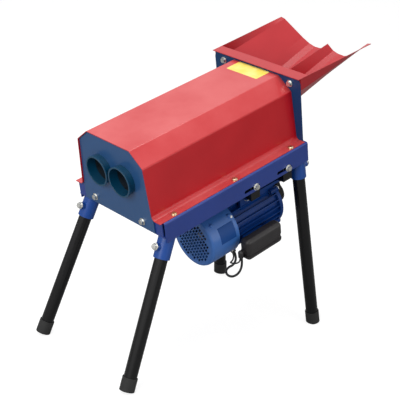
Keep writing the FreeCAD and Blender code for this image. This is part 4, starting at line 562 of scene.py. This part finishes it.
def moulding(name, skin_hex, worn_hex, gloss, grain_mm):
    """Moulded plastic: an even colour with a fine eroded grain that scatters the light.
    The grain is drawn coarser than it is, so that it shows."""
    material, tree, output = blank_material(name)
    place = put(tree, "ShaderNodeTexCoord")
    grain = put(tree, "ShaderNodeTexVoronoi", {
        "Vector": place.outputs["Object"], "Scale": 1000.0 / grain_mm})
    cloud = put(tree, "ShaderNodeTexNoise", {
        "Vector": place.outputs["Object"], "Scale": MOULDING_WEAR_PER_M, "Detail": 4.0})
    worn = put(tree, "ShaderNodeMapRange", {
        "Value": cloud.outputs["Fac"], "From Min": 0.4, "From Max": 0.75, "To Min": 0.0,
        "To Max": 0.5})
    tone = put(tree, "ShaderNodeMix", {
        "Factor": worn.outputs["Result"], "A": colour(skin_hex), "B": colour(worn_hex)},
        data_type="RGBA")
    soft = put(tree, "ShaderNodeBevel", {"Radius": MOULDING_EDGE}, samples=4)
    bump = put(tree, "ShaderNodeBump", {
        "Height": grain.outputs["Distance"], "Strength": 0.18,
        "Distance": MOULDING_GRAIN_DEPTH, "Normal": soft.outputs["Normal"]})
    plastic = put(tree, "ShaderNodeBsdfPrincipled", {
        "Base Color": tone.outputs["Result"], "Roughness": gloss, "IOR": MOULDING_IOR,
        "Normal": bump.outputs["Normal"]})
    tree.links.new(plastic.outputs["BSDF"], output.inputs["Surface"])
    return material


box_moulding = moulding("black_box_moulding", "#221F20", "#2E2B2C", 0.42, 0.9)
gland_moulding = moulding("black_gland_nylon", "#242223", "#363435", 0.40, 0.6)
fan_moulding = moulding("black_fan_moulding", "#1C1C1E", "#2A2A2C", 0.5, 0.8)
can_moulding = moulding("white_capacitor_case", "#DADAD4", "#C6C6BE", 0.35, 0.8)
dress(box_moulding, "capacitor_box", "capacitor_box_lid")
dress(gland_moulding, "cable_glands")
dress(fan_moulding, "cooling_fan")
dress(can_moulding, "capacitor")


# Feet and belt: moulded black rubber caps pushed over the leg tubes, and a belt of rubber over
# cord. Rubber is dull, and a bloom greys it in patches.
RUBBER_BLOOM_PER_M = 55.0       # greyed patches about 18 mm apart
RUBBER_GRAIN_PER_M = 700.0      # flow grain drawn about 1.4 mm wide, coarser than it is, to show
RUBBER_GRAIN_DEPTH = 0.0003
RUBBER_EDGE = 0.0018
RUBBER_IOR = 1.52


def rubber(name, skin_hex, bloom_hex, gloss):
    """Moulded rubber: matt, with a faint grey bloom and a fine flow grain."""
    material, tree, output = blank_material(name)
    place = put(tree, "ShaderNodeTexCoord")
    cloud = put(tree, "ShaderNodeTexNoise", {
        "Vector": place.outputs["Object"], "Scale": RUBBER_BLOOM_PER_M, "Detail": 5.0})
    bloom = put(tree, "ShaderNodeMapRange", {
        "Value": cloud.outputs["Fac"], "From Min": 0.42, "From Max": 0.75, "To Min": 0.0,
        "To Max": 0.45})
    tone = put(tree, "ShaderNodeMix", {
        "Factor": bloom.outputs["Result"], "A": colour(skin_hex), "B": colour(bloom_hex)},
        data_type="RGBA")
    grain = put(tree, "ShaderNodeTexNoise", {
        "Vector": place.outputs["Object"], "Scale": RUBBER_GRAIN_PER_M})
    soft = put(tree, "ShaderNodeBevel", {"Radius": RUBBER_EDGE}, samples=4)
    bump = put(tree, "ShaderNodeBump", {
        "Height": grain.outputs["Fac"], "Strength": 0.2, "Distance": RUBBER_GRAIN_DEPTH,
        "Normal": soft.outputs["Normal"]})
    skin = put(tree, "ShaderNodeBsdfPrincipled", {
        "Base Color": tone.outputs["Result"], "Roughness": gloss, "IOR": RUBBER_IOR,
        "Normal": bump.outputs["Normal"]})
    tree.links.new(skin.outputs["BSDF"], output.inputs["Surface"])
    return material


foot_rubber = rubber("black_foot_rubber", "#171717", "#262626", 0.72)
belt_rubber = rubber("wrapped_belt_rubber", "#202020", "#3C3A38", 0.8)
lead_rubber = rubber("lead_sheath_rubber", "#181818", "#2C2C2C", 0.5)
dress(foot_rubber, "foot_front_left", "foot_front_right", "foot_rear_left", "foot_rear_right")
dress(belt_rubber, "drive_belt")


# Leads: a thick and a thin rubber lead hang in loops from the box's elbow gland to the gland under
# the motor. They are limp, and leave each gland along its axis.
THICK_LEAD = 0.006
THIN_LEAD = 0.004
THICK_ROUTE = [
    (0.2330, -0.1600, -0.2120), (0.2330, -0.1600, -0.2250), (0.2295, -0.1600, -0.2420),
    (0.2220, -0.1556, -0.2570), (0.2129, -0.1451, -0.2668), (0.2096, -0.1309, -0.2689),
    (0.2132, -0.1189, -0.2676), (0.2217, -0.1110, -0.2662), (0.2331, -0.1085, -0.2651),
    (0.2452, -0.1124, -0.2637), (0.2565, -0.1105, -0.2580), (0.2630, -0.1056, -0.2475),
    (0.2630, -0.1005, -0.2361)]
THIN_ROUTE = [
    (0.2330, -0.1545, -0.2120), (0.2330, -0.1545, -0.2195), (0.2320, -0.1515, -0.2290),
    (0.2300, -0.1430, -0.2365), (0.2295, -0.1315, -0.2415), (0.2307, -0.1204, -0.2451),
    (0.2363, -0.1124, -0.2509), (0.2463, -0.1092, -0.2526), (0.2534, -0.1066, -0.2494),
    (0.2575, -0.1036, -0.2432), (0.2575, -0.1005, -0.2361)]


def lead(name, route, diameter, node):
    """A lead along its route: a round curve carried with the motor, in place of the imported lead.
    """
    curve = bpy.data.curves.new(name, "CURVE")
    curve.dimensions = "3D"
    curve.bevel_depth = diameter / 2
    curve.bevel_resolution = 5
    curve.use_fill_caps = True
    line = curve.splines.new("NURBS")
    line.points.add(len(route) - 1)
    for spot, place in zip(line.points, route):
        spot.co = (machine @ Vector(place)).to_4d()
    line.order_u = 3
    line.use_endpoint_u = True
    line.resolution_u = 10
    piece = bpy.data.objects.new(name, curve)
    bpy.context.scene.collection.objects.link(piece)
    curve.materials.append(lead_rubber)
    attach(piece, "motor_unit")
    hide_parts(node)


lead("thick_motor_lead", THICK_ROUTE, THICK_LEAD, "motor_lead")
lead("thin_motor_lead", THIN_ROUTE, THIN_LEAD, "thin_lead")


# Studio: a white floor that fades into a white room, three large soft lamps and the photograph's
# view. To the camera the floor is lifted to white, and it keeps a pale shadow.
PHOTO_SIDE_PX = 400
FOCAL_PX = 1072.65
SENSOR_MM = 36.0
VIEW_REACH = 50.0
VIEW_TURN = math.radians(-45.24)
VIEW_RISE = math.radians(21.74)
VIEW_ROLL = math.radians(5.83)
VIEW_DISTANCE = 2.715
VIEW_TARGET = Vector((-0.0261, 0.0080, 0.3475))
WHITE = (1.0, 1.0, 1.0, 1.0)
FLOOR_HALF = 12.0
FLOOR_GAP = 0.0003
FLOOR_LIFT = 0.80               # light of its own that the floor shows to the camera
ROOM_LIGHT = 0.42               # what the room gives the object
ROOM_WHITE = 1.0                # what the camera and the reflections see of the room

camera_data = bpy.data.cameras.new("photo_camera")
camera_data.sensor_width = SENSOR_MM
camera_data.lens = FOCAL_PX / PHOTO_SIDE_PX * SENSOR_MM
camera_data.clip_end = VIEW_REACH
camera = bpy.data.objects.new("photo_camera", camera_data)
bpy.context.scene.collection.objects.link(camera)
backward = Vector((
    math.sin(VIEW_TURN) * math.cos(VIEW_RISE), -math.cos(VIEW_TURN) * math.cos(VIEW_RISE),
    math.sin(VIEW_RISE)))
level_right = Vector((math.cos(VIEW_TURN), math.sin(VIEW_TURN), 0.0))
level_up = backward.cross(level_right)
right = level_right * math.cos(VIEW_ROLL) + level_up * math.sin(VIEW_ROLL)
up = level_up * math.cos(VIEW_ROLL) - level_right * math.sin(VIEW_ROLL)
camera.matrix_world = Matrix((
    (right.x, up.x, backward.x, VIEW_TARGET.x + backward.x * VIEW_DISTANCE),
    (right.y, up.y, backward.y, VIEW_TARGET.y + backward.y * VIEW_DISTANCE),
    (right.z, up.z, backward.z, VIEW_TARGET.z + backward.z * VIEW_DISTANCE),
    (0.0, 0.0, 0.0, 1.0)))
bpy.context.scene.camera = camera

floor_shape = bmesh.new()
floor_shape.faces.new([floor_shape.verts.new(corner) for corner in (
    (-FLOOR_HALF, -FLOOR_HALF, 0.0), (FLOOR_HALF, -FLOOR_HALF, 0.0),
    (FLOOR_HALF, FLOOR_HALF, 0.0), (-FLOOR_HALF, FLOOR_HALF, 0.0))])
floor = piece_from_bmesh("studio_floor", floor_shape, Matrix.Translation((0.0, 0.0, -FLOOR_GAP)))
floor_material, floor_tree, floor_output = blank_material("white_studio_floor")
floor_ray = put(floor_tree, "ShaderNodeLightPath")
floor_lift = put(floor_tree, "ShaderNodeMapRange", {
    "Value": floor_ray.outputs["Is Camera Ray"], "To Max": FLOOR_LIFT})
floor_white = put(floor_tree, "ShaderNodeBsdfPrincipled", {
    "Base Color": colour("#9C9C9C"), "Roughness": 0.9, "Emission Color": WHITE,
    "Emission Strength": floor_lift.outputs["Result"]})
floor_tree.links.new(floor_white.outputs["BSDF"], floor_output.inputs["Surface"])
floor.data.materials.append(floor_material)

world = bpy.data.worlds.new("white_room")
bpy.context.scene.world = world
world.use_nodes = True
world.node_tree.nodes.clear()
ray = put(world.node_tree, "ShaderNodeLightPath")
seen = put(world.node_tree, "ShaderNodeMath", {
    0: ray.outputs["Is Camera Ray"], 1: ray.outputs["Is Glossy Ray"]}, operation="MAXIMUM")
seen_or_through = put(world.node_tree, "ShaderNodeMath", {
    0: seen.outputs["Value"], 1: ray.outputs["Is Transmission Ray"]}, operation="MAXIMUM")
room_level = put(world.node_tree, "ShaderNodeMapRange", {
    "Value": seen_or_through.outputs["Value"], "To Min": ROOM_LIGHT, "To Max": ROOM_WHITE})
room = put(world.node_tree, "ShaderNodeBackground", {
    "Color": WHITE, "Strength": room_level.outputs["Result"]})
put(world.node_tree, "ShaderNodeOutputWorld", {"Surface": room.outputs["Background"]})


def lamp(name, place, aim, size, watts):
    """A large square soft lamp that faces the object."""
    data = bpy.data.lights.new(name, "AREA")
    data.size = size
    data.energy = watts
    body = bpy.data.objects.new(name, data)
    body.location = place
    body.rotation_euler = (Vector(aim) - Vector(place)).to_track_quat("-Z", "Y").to_euler()
    bpy.context.scene.collection.objects.link(body)


lamp("top_lamp", (-0.3, 0.3, 2.6), (0.0, 0.0, 0.4), 1.8, 38.0)
lamp("left_lamp", (-2.4, -0.6, 1.5), (0.0, 0.0, 0.35), 1.4, 34.0)
lamp("front_lamp", (0.6, -2.6, 0.9), (0.0, 0.0, 0.35), 1.6, 12.0)

bpy.context.scene.view_settings.view_transform = "Standard"
